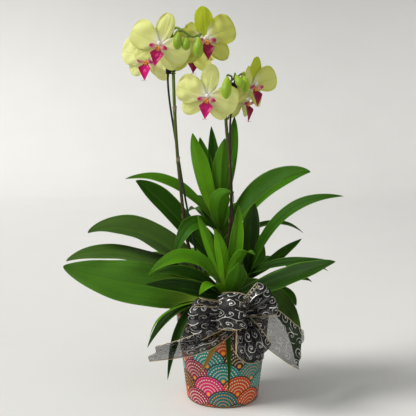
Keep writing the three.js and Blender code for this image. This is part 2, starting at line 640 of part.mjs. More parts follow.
function tail({ points, widths, across }) {
  const curve = midrib(points);
  const wide = point(across).normalize();
  const [start, middle, end] = widths;
  return sheet(8, 2, RIBBON.thickness, (t, u) => {
    const opening = Math.sin(Math.min(1, 2.2 * within(t)) * Math.PI / 2);
    const width = start + (middle - start) * opening + (end - middle) * within(t);
    return along(curve, t, width).addScaledVector(wide, (width / 2) * u);
  });
}

// ---------------------------------------------------------------- the object

addPart('pot', potSolid(), 0x2f8f8c, 0.45);
addPart('potting_mix', mixSolid(), 0x4a3524, 0.95);

addPart('orchid_leaves', orchidLeaves(), 0x3c7a1e, 0.35);
addPart('shoot_upright', shoot(STEMS.upright, UPRIGHT_LEAVES), 0x4f9a24, 0.4);
addPart('shoot_front', shoot(STEMS.front, [...FRONT_LEAVES, ...HANGING_LEAVES]), 0x5aa428, 0.4);
addPart('shoot_right', shoot(STEMS.right, RIGHT_LEAVES), 0x2f6a1c, 0.4);
addPart('shoot_back', shoot(STEMS.back, BACK_LEAVES), 0x2f6a1c, 0.4);
addPart('shoot_trailing', shoot(STEMS.trailing, TRAILING_LEAVES), 0x35701c, 0.45);

addPart('spike_left', spike('left'), 0x55701c, 0.5);
addPart('spike_right', spike('right'), 0x55701c, 0.5);
addPart('stake_left', bar(STAKES.left, STAKE_RADIUS, 6, 20), 0x1e3a2a, 0.5);
addPart('stake_right', bar(STAKES.right, STAKE_RADIUS, 6, 16), 0x4a2a24, 0.6);

addPart('clip_left', clip('left', 490, 7), 0x1a1a1a, 0.4);
addPart('clip_right', clip('right', 467.5, 12), 0x1a1a1a, 0.4);
addPart('stem_tie', tie(317), 0x2a2a20, 0.8);

for (const [name, flower] of Object.entries(FLOWERS)) {
  const basis = flowerBasis(flower);
  addPart(`flower_${name}_tepals`, flowerTepals(basis), 0xd8de84, 0.5);
  addPart(`flower_${name}_lip`, flowerLip(basis), 0xb0126a, 0.45);
}

addPart('ribbon_band', band(), 0x1c1a1a, 0.5);
addPart('ribbon_knot', geometryOf(knotSolid()), 0x1c1a1a, 0.5);
for (const [name, shape] of Object.entries(LOOPS)) addPart(`ribbon_loop_${name}`, seated(loop(shape)), 0x262323, 0.5);
for (const [name, shape] of Object.entries(TAILS)) addPart(name, seated(tail(shape)), 0x262323, 0.5);

export default group;
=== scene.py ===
"""Potted orchid with a leafy companion plant and an organza bow.

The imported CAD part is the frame. Each operator below makes the finished surface of one piece or
group of like pieces in its place. Tables are in millimetres, with heights from a datum that lies
FOOT below the pot's underside; meshes are in metres, from the underside itself.
"""

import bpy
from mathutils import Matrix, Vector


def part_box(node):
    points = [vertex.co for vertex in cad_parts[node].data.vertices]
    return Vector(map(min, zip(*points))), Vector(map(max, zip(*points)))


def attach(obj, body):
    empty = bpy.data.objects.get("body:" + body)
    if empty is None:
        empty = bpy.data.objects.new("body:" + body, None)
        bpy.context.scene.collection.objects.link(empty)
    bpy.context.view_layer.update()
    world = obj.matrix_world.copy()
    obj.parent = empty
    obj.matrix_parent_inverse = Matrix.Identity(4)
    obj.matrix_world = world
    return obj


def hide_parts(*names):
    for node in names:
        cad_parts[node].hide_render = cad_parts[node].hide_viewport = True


bl_info = {
    "name": "Potted Orchid",
    "version": (1, 0, 0),
    "blender": (4, 5, 0),
    "location": "View3D > Sidebar > Orchid",
    "description": "Makes a potted orchid with a companion plant and a ribbon bow",
    "category": "Add Mesh",
}

from math import comb

import bpy
import numpy as np
from bpy.props import FloatProperty, FloatVectorProperty, IntProperty, PointerProperty

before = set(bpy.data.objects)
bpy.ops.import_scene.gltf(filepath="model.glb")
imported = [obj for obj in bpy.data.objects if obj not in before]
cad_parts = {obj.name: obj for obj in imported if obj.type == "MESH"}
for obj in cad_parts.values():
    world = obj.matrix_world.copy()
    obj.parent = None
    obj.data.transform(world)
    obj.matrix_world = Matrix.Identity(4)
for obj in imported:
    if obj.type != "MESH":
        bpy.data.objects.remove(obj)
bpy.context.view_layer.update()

MM = 0.001
TAU = 2 * np.pi
# Heights in the tables of the pot's underside and its rim.
FOOT = 7.5
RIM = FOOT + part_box("pot")[1][2] / MM


# ---------------------------------------------------------------- tables, in millimetres

# Each shoot's stem: its radius and the points of its centre line.
STEMS = {
    "orchid": (8, [(-30, 6, 95), (-30, 6, 150), (-29, 6, 192)]),
    "upright": (5, [(-4, 18, 95), (-6, 17, 200), (-5, 14, 286)]),
    "front": (4.5, [(3, -34, 95), (3, -35, 150), (4, -37, 186)]),
    "right": (5, [(37, 18, 95), (37, 14, 160), (35, 9, 202)]),
    "back": (4.5, [(10, 42, 95), (10, 43, 160), (9, 44, 212)]),
    "trailing": (3.5, [(-32, -36, 95), (-32, -36, 140), (-33, -36, 164)]),
}

# Each leaf: the points of its midrib, its width, and what else sets how it lies.
LEAVES = {
    "orchid": [
        ([(-30, 4, 168), (-132, -38, 189), (-229, -36, 214)], 66, {"roll": 58, "fold": 0.12}),
        ([(-30, 6, 182), (-144, 4, 221), (-229, -8, 216)], 52, {"roll": 15, "fold": 0.2}),
        ([(-29, 8, 190), (-122, 25, 252), (-199, 10, 255)], 58, {"roll": 28, "fold": 0.2}),
        (
            [(-30, 6, 150), (35, 3, 180), (113, -6, 189), (107, -46, 70)], 42,
            {"roll": 92, "fold": 0.1},
        ),
        ([(-30, 8, 164), (-92, 46, 206), (-140, 84, 196)], 48, {"fold": 0.2}),
        ([(-29, 8, 176), (-52, 66, 212), (-64, 122, 200)], 40, {"fold": 0.2}),
    ],
    "upright": [
        ([(-5, 14, 270), (-32, 0, 346), (-44, -10, 403)], 27, {"facing": -20}),
        ([(-5, 15, 274), (-25, 28, 349), (-34, 38, 394)], 22, {"facing": 35}),
        ([(-5, 15, 280), (-13, 34, 352), (-17, 44, 410)], 20, {"facing": 20}),
        ([(-5, 14, 276), (-3, 3, 346), (3, 5, 395)], 25, {"facing": 0}),
        ([(-5, 15, 278), (13, 22, 368), (17, 30, 425)], 20, {"facing": -20}),
        ([(-5, 14, 258), (-6, -16, 303), (11, -28, 321)], 29, {"facing": -10}),
        ([(-5, 15, 266), (-72, 8, 327), (-142, 0, 336)], 19, {"roll": 45}),
        ([(-5, 16, 254), (-43, -25, 273), (-70, -37, 229)], 24, {"roll": 35}),
        ([(-5, 16, 250), (-28, 38, 290), (-37, 54, 305)], 16, {"roll": 20}),
        ([(-5, 16, 240), (66, 8, 319), (126, -10, 347)], 48, {"roll": 42}),
        ([(-5, 17, 205), (-82, 16, 291), (-128, 12, 332)], 38, {"roll": 50}),
        ([(-5, 17, 225), (66, 38, 262), (121, 34, 251)], 18, {"roll": 10}),
        ([(-5, 17, 244), (24, 58, 284), (42, 98, 276)], 26, {}),
        ([(-5, 16, 250), (-30, 52, 280), (-52, 88, 276)], 24, {}),
    ],
    "front": [
        ([(4, -36, 178), (-48, -50, 229), (-106, -64, 207)], 26, {"roll": 42}),
        ([(4, -37, 183), (-19, -38, 243), (-37, -40, 289)], 15, {"facing": 0}),
        ([(4, -37, 180), (-2, -48, 232), (-13, -53, 272)], 18, {"facing": 0}),
        ([(4, -36, 181), (18, -34, 244), (22, -31, 302)], 20, {"facing": 0}),
        ([(4, -37, 176), (22, -56, 231), (44, -70, 237)], 18, {"facing": 10}),
        ([(4, -36, 172), (18, -62, 199), (21, -73, 228)], 28, {"facing": 0}),
        ([(4, -36, 165), (-52, -62, 187), (-109, -76, 196)], 28, {"roll": 42}),
        ([(4, -36, 168), (-15, -68, 193), (-34, -86, 184)], 23, {}),
        ([(4, -36, 170), (-48, -38, 203), (-95, -44, 206)], 20, {"roll": 45}),
        ([(4, -36, 162), (98, -46, 201), (157, -62, 226)], 33, {"roll": 40}),
        ([(3, -35, 148), (-2, -78, 200), (12, -84, 104), (7, -66, 34)], 8, {"facing": 0}),
        ([(3, -35, 142), (-2, -71, 192), (1, -86, 112), (-36, -60, 62)], 12, {"facing": -10}),
    ],
    "right": [
        ([(36, 9, 194), (41, -8, 258), (45, -20, 303)], 27, {"facing": 10}),
        ([(36, 10, 190), (88, -25, 286), (168, -50, 317)], 20, {"roll": 60}),
        ([(36, 12, 184), (82, 18, 216), (118, 22, 244)], 18, {"roll": 40}),
        ([(36, 12, 184), (53, 26, 212), (59, 36, 239)], 20, {"facing": 10}),
        ([(36, 10, 194), (88, -24, 216), (152, -40, 223)], 16, {"roll": 40}),
        ([(37, 14, 162), (87, 10, 164), (109, 4, 146)], 22, {"roll": 45}),
        ([(36, 13, 172), (113, 40, 196), (161, 46, 190)], 13, {"roll": 30}),
        ([(37, 14, 165), (102, 34, 180), (136, 40, 174)], 13, {"roll": 30}),
        ([(36, 12, 181), (70, 44, 204), (100, 72, 194)], 22, {}),
        ([(36, 11, 190), (50, 56, 232), (58, 90, 236)], 20, {}),
    ],
    "back": [
        ([(9, 44, 204), (3, 66, 262), (-4, 80, 300)], 18, {"facing": 10}),
        ([(9, 44, 200), (-30, 76, 246), (-62, 100, 246)], 22, {}),
        ([(9, 44, 196), (34, 84, 240), (52, 118, 236)], 22, {}),
        ([(9, 44, 188), (72, 82, 200), (120, 104, 170)], 22, {}),
        ([(10, 43, 178), (6, 98, 190), (4, 138, 158)], 24, {}),
        ([(10, 43, 172), (-48, 86, 176), (-80, 112, 142)], 20, {}),
        ([(10, 43, 166), (56, 86, 164), (84, 112, 128)], 20, {}),
    ],
    "trailing": [
        ([(-33, -36, 160), (-76, -52, 146), (-108, -60, 101)], 14, {"roll": 40}),
        ([(-33, -36, 156), (-62, -52, 127), (-80, -50, 50)], 13, {"roll": 55}),
        ([(-33, -36, 162), (-82, -56, 150), (-104, -62, 118)], 4, {"roll": 20}),
    ],
}
# The withered leaf: shoot, and number among its leaves.
BROWN_LEAF = ("front", 11)
# How young and light each blade is, from 0 for an old and dark one to 1. Low values are partly
# painted shade on blades that lie in shadow, and some raised ones a painted sheen. A draw sets the
# others.
BLADE_TONES_AND_SHADE = {
    "orchid": {0: 0.8, 1: 0.6, 2: 0.5, 3: 0.35},
    "upright": {
        0: 0.85, 1: 0.7, 2: 0.55, 3: 0.65, 4: 0.65, 5: 0.65, 6: 0.75, 7: 0.45, 8: 0.15, 9: 0.66,
        10: 0.42,
    },
    "front": {
        0: 0.76, 1: 0.8, 2: 0.85, 3: 0.75, 4: 0.75, 5: 0.5, 6: -0.08, 7: 0.85, 8: 0.1, 9: 0.05,
        10: 0.1,
    },
    "right": {0: -0.12, 1: 0.4, 4: 0.1, 6: 0.0},
    "back": {},
    "trailing": {0: 0.0, 1: 0.0},
}
# The sepals of a stronger green: flower, and number among its tepals.
GREEN_SEPALS = (("c", 2), ("f", 2))

# Centre lines of the flower spikes and of the stakes, from the mix upwards.
SPIKES = {
    "left": [
        (-17, -12, 95), (-19, -10, 140), (-27, -8, 178), (-42, -10, 215), (-52, -12, 248),
        (-57, -12, 285), (-61, -11, 321), (-65, -10, 364), (-68, -9, 407), (-70, -8, 450),
        (-71, -4, 482), (-72, 1, 508), (-73, 0, 530), (-72, -12, 546), (-66, -26, 550),
        (-58, -38, 546), (-43, -40, 537), (-31, -41, 541),
    ],
    "right": [
        (-4, -5, 95), (-3, -5, 150), (3, -5, 205), (9, -6, 250), (12, -7, 290), (11, -8, 341),
        (8, -6, 378), (5, -2, 407), (4, 5, 432), (7, 8, 455), (8, 4, 468), (12, -6, 478),
        (18, -16, 481),
    ],
}
STAKES = {
    "left": [
        (-9, -27, 95), (-14, -25, 130), (-25, -22, 176), (-38, -18, 226), (-48, -14, 275),
        (-57, -3, 320), (-64, 2, 363), (-71, 2, 407), (-77, -3, 450), (-79, -5, 478),
        (-78, -6, 500),
    ],
    "right": [
        (16, -12, 95), (15, -12, 174), (15, -13, 233), (14, -14, 282), (12, -14, 307),
        (11, -14, 342), (10, -14, 379), (10, -12, 420), (12.5, -7, 440), (14.5, -3, 458),
        (17, 2, 482),
    ],
}

# Each flower: centre, the way it faces, how far its top leans to the right, its size, how far its
# right and left petals stand from its top, how far its tepals still close round the lip, how
# bright its lip is and how green its tepals are.
FLOWERS = {
    "a": ((-89, -26, 528), (-0.12, -1, -0.05), 18, 1.0, (98, -84), 0, 0.6, 0.4),
    "b": ((-109, 26, 510), (-0.4, -0.9, -0.15), 8, 1.0, (84, -84), 0, 1.0, 0.05),
    "c": ((-25, -12, 536), (0.2, -1, 0.05), -4, 1.04, (72, -104), 0, 0.15, 1.0),
    "d": ((-46, 48, 520), (0.25, 1, -0.1), 0, 0.95, (84, -84), 0, 0.3, 0.6),
    "e": ((-23, -36, 456), (-0.05, -1, -0.1), 9, 1.0, (98, -82), 0, 0.75, 0.3),
    "f": ((42, 22, 471), (0.72, -0.68, 0.05), 8, 0.92, (66, -84), 30, 0.1, 0.8),
    "g": ((32, 40, 450), (0.85, -0.53, -0.15), 0, 0.9, (50, -110), 0, 0.15, 0.8),
}
# The points of each flower's stalk, from its spike to just short of the flower.
PEDICELS = {
    "left": {
        "a": [(-71, -1, 500), (-80, -3, 515)],
        "b": [(-73, 1, 532), (-84, 26, 541)],
        "c": [(-72, 1, 512), (-44, 12, 520)],
        "d": [(-73, 1, 526), (-60, 16, 531)],
    },
    "right": {
        "e": [(4, 2, 422)],
        "f": [(7, 8, 456), (26, 22, 472)],
        "g": [(4, 4, 424), (8, 34, 422)],
    },
}
# Each bud: the points of its stalk, its tip, its width.
BUDS = {
    "left": [
        ([(-57, -37.5, 545), (-62, -44, 544)], (-64, -48, 522), 13),
        ([(-46, -39, 538), (-51, -44, 536)], (-52, -48, 521), 12),
        ([(-31, -41, 541), (-34, -45, 537)], (-36, -50, 512), 14),
    ],
    "right": [
        ([(12, -6, 478), (11, -28, 483), (4.5, -46, 484)], (3, -57, 455), 15),
        ([(15, -12, 480), (16, -30, 487), (16, -38, 485)], (25, -47, 470), 12),
        ([(18, -16, 481), (26, -27, 487), (29, -31, 485)], (31, -34, 463), 13),
    ],
}
# How far a flower's hub reaches behind its centre.
HUB = 4
# Each clip: its height above the datum and how tall it is.
CLIPS = {"left": (490, 7), "right": (467.5, 14)}
# Where the twine ties the right spike to its stake.
TIE_HEIGHT = 317
# The level of the potting mix at the pot's wall, and how far it is crowned.
MIX_LEVEL, MIX_CROWN = 125, 4

# The knot, and the neck of gathered ribbon that joins it to the band.
KNOT_CENTRE, KNOT_RADIUS = (24, -86, 157), 7.5
KNOT_NECK = [KNOT_CENTRE, (22, -77, 145), (17, -66, 131)]
# Each loop: the way it leaves the knot, the way its width runs, its length, how far it gapes, and
# how its root is shifted over the knot.
LOOPS = {
    "left": ((-0.95, 0, -0.2), (-0.1, -0.1, 1), 71, 7, (-1, -3, 1)),
    "left_back": ((-0.96, 0.03, -0.08), (0.1, -0.1, 1), 66, 4.5, (0, 5.5, 2)),
    "centre": ((-0.5, -0.86, 0.35), (0, 0.15, 1), 44, 24, (1, -4.5, 1)),
    "right_upper": ((0.8, -0.12, 0.5), (-0.5, -0.1, 0.8), 48, 10, (1, -2, 2)),
    "right_lower": ((0.3, -0.3, -0.9), (0.95, 0.1, 0.22), 54, 12, (3, -1, -3)),
}
# Each tail: its middle line, its spread widths at root, middle and end, the way its width runs, and
# the number of its lengthwise pleats.
TAILS = {
    "ribbon_tail_left": (
        [(22, -80, 146), (-22, -84, 111), (-62, -72, 102), (-110, -60, 91)],
        (9, 32, 19), (-0.2, 0.4, 0.87), 1.6,
    ),
    "ribbon_wing_right": (
        [(28, -77, 151), (60, -79, 149), (84, -80, 116), (116, -66, 96)],
        (11, 58, 54), (0.32, -0.1, 0.94), 2.2,
    ),
}


# ---------------------------------------------------------------- curves and surfaces

def unit(vectors):
    """Vectors of length one along the last axis."""
    return vectors / np.maximum(np.linalg.norm(vectors, axis=-1, keepdims=True), 1e-12)


def eased(count):
    """count + 1 values from 0 to 1, closer together at both ends, on a half cosine."""
    return (1 - np.cos(np.linspace(0, np.pi, count + 1))) / 2


def ripples(x, y, pitch, seed, waves=7):
    """Soft unevenness of about -1 to 1: sines of random direction, phase and length near pitch."""
    draw = np.random.default_rng(seed)
    total = 0
    for turn, phase, stretch in zip(
        draw.uniform(0, TAU, waves), draw.uniform(0, TAU, waves), draw.uniform(0.6, 1.7, waves)
    ):
        travel = x * np.cos(turn) + y * np.sin(turn)
        total = total + np.sin(TAU * travel / (pitch * stretch) + phase)
    return total / waves**0.5


def outline(rise, fall, shift, least=0.02):
    """Width along a blade: rises as (t + shift)^rise and falls as (1 - t)^fall, to a peak of 1."""
    peak = (rise - fall * shift) / (rise + fall)
    top = (peak + shift) ** rise * (1 - peak) ** fall
    return lambda t: np.maximum(least, (t + shift) ** rise * (1 - t) ** fall / top)


# Outlines of a companion leaf, an orchid leaf, a petal and a sepal.
LANCE = outline(0.75, 0.75, 0.04)
STRAP = outline(0.5, 0.6, 0.05)
PETAL = outline(0.7, 0.38, 0.02)
SEPAL = outline(0.6, 0.5, 0.04)


def kite(t):
    """Width along the lip's middle lobe: a narrow claw, widest at a third, then nearly straight
    edges to a point."""
    return np.clip(np.minimum(0.24 + 0.78 * (t / 0.34) ** 1.3, (1.02 - t) / 0.68), 0.06, 0.98)


def ear(t):
    """Width along a side lobe: a narrow stalk that opens into a round end."""
    grow = np.clip((t - 0.2) / 0.45, 0, 1)
    end = np.sqrt(np.clip(1 - (np.maximum(t - 0.68, 0) / 0.33) ** 2, 0.02, 1))
    return (0.3 + 0.7 * grow**2 * (3 - 2 * grow)) * end


def bezier(points, t):
    """Places and slopes on a curve. Three points: a quadratic through the middle one. Four: the
    control points of a cubic."""
    p = np.array(points, float)
    if len(p) == 3:
        p[1] = 2 * p[1] - (p[0] + p[2]) / 2

    def blend(q):
        """The Bernstein sum of the control points q: comb(n, k) t^k (1 - t)^(n - k) q_k."""
        n = len(q) - 1
        return sum(
            comb(n, k) * t[:, None] ** k * (1 - t[:, None]) ** (n - k) * q[k] for k in range(n + 1)
        )

    return blend(p), unit(blend(np.diff(p, axis=0)))


def smooth_path(points, count):
    """count points, evenly spaced, on a centripetal Catmull-Rom curve through the points."""
    p = np.array(points, float)
    p = np.vstack([2 * p[0] - p[1], p, 2 * p[-1] - p[-2]])
    spans = len(p) - 3
    place = np.linspace(0, spans, 24 * spans + 1)
    k = np.minimum(place.astype(int), spans - 1)
    f = (place - k)[:, None]
    gap = np.sqrt(np.linalg.norm(np.diff(p, axis=0), axis=1))[:, None]
    p0, p1, p2, p3 = (p[k + j] for j in range(4))
    d0, d1, d2 = (gap[k + j] for j in range(3))
    m1 = ((p1 - p0) / d0 - (p2 - p0) / (d0 + d1) + (p2 - p1) / d1) * d1
    m2 = ((p2 - p1) / d1 - (p3 - p1) / (d1 + d2) + (p3 - p2) / d2) * d1
    curve = p1 + m1 * f + (3 * (p2 - p1) - 2 * m1 - m2) * f**2 + (2 * (p1 - p2) + m1 + m2) * f**3
    run = np.concatenate([[0], np.cumsum(np.linalg.norm(np.diff(curve, axis=0), axis=1))])
    even = np.linspace(0, run[-1], count)
    return np.stack([np.interp(even, run, curve[:, axis]) for axis in range(3)], -1)


def length_of(path):
    """Length of a line of points."""
    return float(np.linalg.norm(np.diff(path, axis=0), axis=1).sum())


def tube(path, radius, sides=12):
    """Rings round a path. The cross direction is carried along without twist."""
    tangent = unit(np.gradient(path, axis=0))
    guide = np.eye(3)[np.argmin(np.abs(tangent[0]))]
    normal = np.empty_like(path)
    for k, way in enumerate(tangent):
        guide = unit(guide - way * (guide @ way))
        normal[k] = guide
    binormal = np.cross(tangent, normal)
    angle = np.linspace(0, TAU, sides, endpoint=False)
    spoke = np.cos(angle)[:, None] * normal[:, None] + np.sin(angle)[:, None] * binormal[:, None]
    width = np.asarray(radius, float)
    width = width[:, None] if width.ndim == 1 else width
    return path[:, None] + spoke * np.broadcast_to(width, spoke.shape[:2])[..., None]


def turned(profile, sides):
    """Rings of a profile of (radius, height) turned about Z."""
    angle = np.linspace(0, TAU, sides, endpoint=False)
    r, z = np.array(profile, float).T
    return np.stack(
        [r[:, None] * np.cos(angle), r[:, None] * np.sin(angle), z[:, None] + 0 * angle], -1
    )


def egg(radius, half, rows, sides, power=1.0):
    """Rings of a ball of a radius and a half height, without its poles: radius sin(pi t)^power at
    height -half cos(pi t)."""
    t = eased(rows)[1:-1]
    profile = np.stack([radius * np.sin(np.pi * t) ** power, -half * np.cos(np.pi * t)], -1)
    return turned(profile, sides)


def square(rows, columns):
    """An even grid of UVs over the unit square."""
    span = np.meshgrid(np.linspace(0, 1, rows), np.linspace(0, 1, columns), indexing="ij")
    return np.stack(span, -1)


def quads(index):
    """Four corners for each cell of a grid of vertex numbers, in the order along, then across."""
    corners = [index[:-1, :-1], index[1:, :-1], index[1:, 1:], index[:-1, 1:]]
    return np.stack(corners, -1).reshape(-1, 4)


class Form:
    """Surfaces gathered into one mesh, with a UV map and three values at each point: tone, one draw
    or listed value for each blade, on leaves partly painted shade; side, 1 on its upper or front
    face; part, which kind of surface it is."""

    def __init__(self):
        self.points, self.values, self.faces, self.uvs = [], [], [], []
        self.count = 0

    def add(self, points, faces, uvs, tone, side, part):
        values = np.empty((len(points), 3))
        values[:, 0], values[:, 1], values[:, 2] = tone, side, part
        self.points.append(points)
        self.values.append(values)
        self.faces += [face + self.count for face in faces]
        self.uvs += uvs
        self.count += len(points)

    def shell(self, grid, thickness, tone=0.5, part=0.0, uv=None):
        """A closed blade: the grid moved half its thickness both ways along its normal, and a rim.
        Its front looks along the cross product of the rows' and the columns' directions."""
        rows, columns = grid.shape[:2]
        normal = unit(np.cross(np.gradient(grid, axis=0), np.gradient(grid, axis=1)))
        offset = normal * np.broadcast_to(thickness, (rows, columns))[..., None] / 2
        if uv is None:
            uv = square(rows, columns)
        index = np.arange(2 * rows * columns).reshape(2, rows, columns)
        blocks = [quads(index[0]), quads(index[1])[:, ::-1]]
        for line in (index[:, :, 0], index[:, ::-1, -1], index[:, 0, ::-1], index[:, -1, :]):
            blocks.append(quads(line))
        flat = np.tile(uv.reshape(-1, 2), (2, 1))
        side = np.repeat([1.0, 0.0], rows * columns)
        points = np.stack([grid + offset, grid - offset]).reshape(-1, 3)
        self.add(points, blocks, [flat[block] for block in blocks], tone, side, part)

    def ringed(self, rings, closed=False, tone=0.5, part=0.0, side=1.0, uv=None):
        """A surface of rings. Its ends are closed with a fan, or joined where closed is true."""
        count, sides = rings.shape[:2]
        index = np.arange(count * sides).reshape(count, sides)
        if closed:
            index = np.vstack([index, index[:1]])
        index = np.hstack([index, index[:, :1]])
        if uv is None:
            uv = square(len(index), sides + 1)
        cells = quads(np.arange(index.size).reshape(index.shape))[:, ::-1]
        points = rings.reshape(-1, 3)
        blocks = [index.reshape(-1)[cells]]
        uvs = [uv.reshape(-1, 2)[cells]]
        if not closed:
            points = np.vstack([points, rings[0].mean(0), rings[-1].mean(0)])
            for pole, row, way in ((count * sides, 0, -1), (count * sides + 1, -1, 1)):
                pairs = np.stack([index[row, :-1], index[row, 1:]], -1)[:, ::way]
                blocks.append(np.column_stack([np.full(sides, pole), pairs]))
                fan = np.stack([uv[row, :-1], uv[row, :-1], uv[row, 1:]], 1)
                uvs.append(fan[:, [0, 1, 2]] if way > 0 else fan[:, [0, 2, 1]])
        self.add(points, blocks, uvs, tone, side, part)

    def piece(self, name, material, replaces=(), slot=None, crease=48):
        """Puts the mesh into the scene as a piece that rides on the frame's one body."""
        mesh = bpy.data.meshes.new(name)
        faces = [face for block in self.faces for face in block.tolist()]
        mesh.from_pydata(((np.concatenate(self.points) - (0, 0, FOOT)) * MM).tolist(), [], faces)
        layer = mesh.uv_layers.new(name="UVMap")
        layer.data.foreach_set("uv", np.concatenate([uv.reshape(-1) for uv in self.uvs]))
        values = np.concatenate(self.values)
        for column, label in enumerate(("tone", "side", "part")):
            attribute = mesh.attributes.new(label, "FLOAT", "POINT")
            attribute.data.foreach_set("value", np.ascontiguousarray(values[:, column]))
        mesh.shade_smooth()
        mesh.set_sharp_from_angle(angle=np.radians(crease))
        mesh.materials.append(material)
        made = bpy.data.objects.new(name, mesh)
        bpy.context.collection.objects.link(made)
        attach(made, "root")
        if replaces:
            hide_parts(*replaces)
        return made


# ---------------------------------------------------------------- shader maths

class Number:
    """A shader socket that Python's own operators work on. Each adds one Math node."""

    def __init__(self, finish, socket):
        self.finish, self.socket = finish, socket

    def __add__(self, other):
        return self.finish.math("ADD", self, other)

    def __sub__(self, other):
        return self.finish.math("SUBTRACT", self, other)

    def __rsub__(self, other):
        return self.finish.math("SUBTRACT", other, self)

    def __mul__(self, other):
        return self.finish.math("MULTIPLY", self, other)

    def __truediv__(self, other):
        return self.finish.math("DIVIDE", self, other)

    def __lt__(self, other):
        return self.finish.math("LESS_THAN", self, other)

    def __gt__(self, other):
        return self.finish.math("GREATER_THAN", self, other)

    def __abs__(self):
        return self.finish.math("ABSOLUTE", self)

    __radd__, __rmul__ = __add__, __mul__


class Finish:
    """One material and the nodes that make it."""

    def __init__(self, name):
        self.material = bpy.data.materials.new(name)
        self.material.use_nodes = True
        self.tree = self.material.node_tree
        self.tree.nodes.clear()

    def node(self, kind, settings=None, inputs=None, output=0):
        """Adds a node: its settings first, then the values or links of its sockets."""
        made = self.tree.nodes.new(kind)
        for key, value in (settings or {}).items():
            if key == "ramp":
                self.fill_ramp(made.color_ramp, value)
            else:
                setattr(made, key, value)
        for key, value in (inputs or {}).items():
            socket = made.inputs[key]
            if isinstance(value, Number):
                self.tree.links.new(value.socket, socket)
            elif isinstance(value, (tuple, list)) and len(value) == 3 and socket.type == "RGBA":
                socket.default_value = (*value, 1)
            else:
                socket.default_value = value
        return Number(self, made.outputs[output]) if made.outputs else made

    def fill_ramp(self, ramp, stops):
        """Gives a ramp its stops of place and colour. Equal steps stay sharp, the rest blend."""
        while len(ramp.elements) < len(stops):
            ramp.elements.new(0.5)
        for element, (place, colour) in zip(ramp.elements, stops):
            element.position = place
            element.color = (*colour, 1)

    def math(self, operation, *values):
        return self.node("ShaderNodeMath", {"operation": operation}, dict(enumerate(values)))

    def coords(self, output="Object"):
        return self.node("ShaderNodeTexCoord", output=output)

    def split(self, vector):
        made = self.tree.nodes.new("ShaderNodeSeparateXYZ")
        self.tree.links.new(vector.socket, made.inputs[0])
        return [Number(self, socket) for socket in made.outputs]

    def vector(self, *parts):
        return self.node("ShaderNodeCombineXYZ", None, dict(enumerate(parts)))

    def value(self, name):
        """One of the values that a Form keeps at each point."""
        return self.node("ShaderNodeAttribute", {"attribute_name": name}, None, "Fac")

    def noise(self, vector, scale, detail=3.0, roughness=0.5):
        inputs = {"Vector": vector, "Scale": scale, "Detail": detail, "Roughness": roughness}
        return self.node("ShaderNodeTexNoise", None, inputs, "Fac")

    def draw(self, *parts):
        """A random number for each whole-numbered place."""
        inputs = {"Vector": self.vector(*parts)}
        return self.node("ShaderNodeTexWhiteNoise", {"noise_dimensions": "3D"}, inputs, "Value")

    def step(self, low, high, number):
        """0 below low, 1 above high, and smooth between them."""
        settings = {"interpolation_type": "SMOOTHSTEP"}
        return self.node(
            "ShaderNodeMapRange", settings, {"Value": number, "From Min": low, "From Max": high}
        )

    def kind(self, number):
        """1 on the surfaces whose part is this whole number, and 0 on the others."""
        return self.bell(self.value("part"), float(number), 0.5)

    def bell(self, number, centre, spread):
        """1 at the centre, falling smoothly to 0 at the spread on both sides."""
        return 1 - self.step(0, spread, abs(number - centre))

    def wave(self, number, count=1.0):
        """A wave of 0 to 1 with count crests for each unit."""
        return self.math("SINE", number * (TAU * count)) * 0.5 + 0.5

    def ridge(self, number):
        """Distance from the middle of each whole step, 0 to 0.5."""
        return abs(self.math("FRACT", number) - 0.5)

    def mix(self, factor, first, second):
        settings = {"data_type": "RGBA", "clamp_factor": True}
        return self.node("ShaderNodeMix", settings, {0: factor, 6: first, 7: second}, 2)

    def darken(self, colour, factor):
        """A colour multiplied by a number."""
        grey = self.node("ShaderNodeCombineColor", None, {0: factor, 1: factor, 2: factor})
        settings = {"data_type": "RGBA", "blend_type": "MULTIPLY"}
        return self.node("ShaderNodeMix", settings, {0: 1.0, 6: colour, 7: grey}, 2)

    def bump(self, height, distance, strength=1.0):
        inputs = {"Height": height, "Distance": distance, "Strength": strength}
        return self.node("ShaderNodeBump", None, inputs)

    def shader(self, **sockets):
        """The surface. Socket names are written with underscores for spaces."""
        inputs = {key.replace("_", " "): value for key, value in sockets.items()}
        surface = self.node("ShaderNodeBsdfPrincipled", None, inputs)
        self.node("ShaderNodeOutputMaterial", None, {"Surface": surface})
        return self.material


# ---------------------------------------------------------------- finishes

# The painted scales: how many go round, and their pitch, their rows' pitch and their radius.
POT_SCALES = 8
SCALE_WIDTH, SCALE_STEP, SCALE_RADIUS = 0.0471, 0.0215, 0.0285
# The rings of dashes in a scale: their pitch and how many dashes go round.
RING_PITCH, RING_DASHES = 0.0048, 32
CREAM, AMBER, BROWN_LINE = (0.72, 0.66, 0.42), (0.8, 0.3, 0.03), (0.035, 0.02, 0.014)
CLAY, UMBER = (0.30, 0.15, 0.07), (0.045, 0.03, 0.022)
PAINTS = [
    (0.0, (0.002, 0.13, 0.14)), (0.26, (0.54, 0.045, 0.001)), (0.48, (0.30, 0.005, 0.06)),
    (0.62, (0.004, 0.20, 0.20)), (0.8, (0.62, 0.01, 0.14)), (0.92, (0.045, 0.014, 0.008)),
]


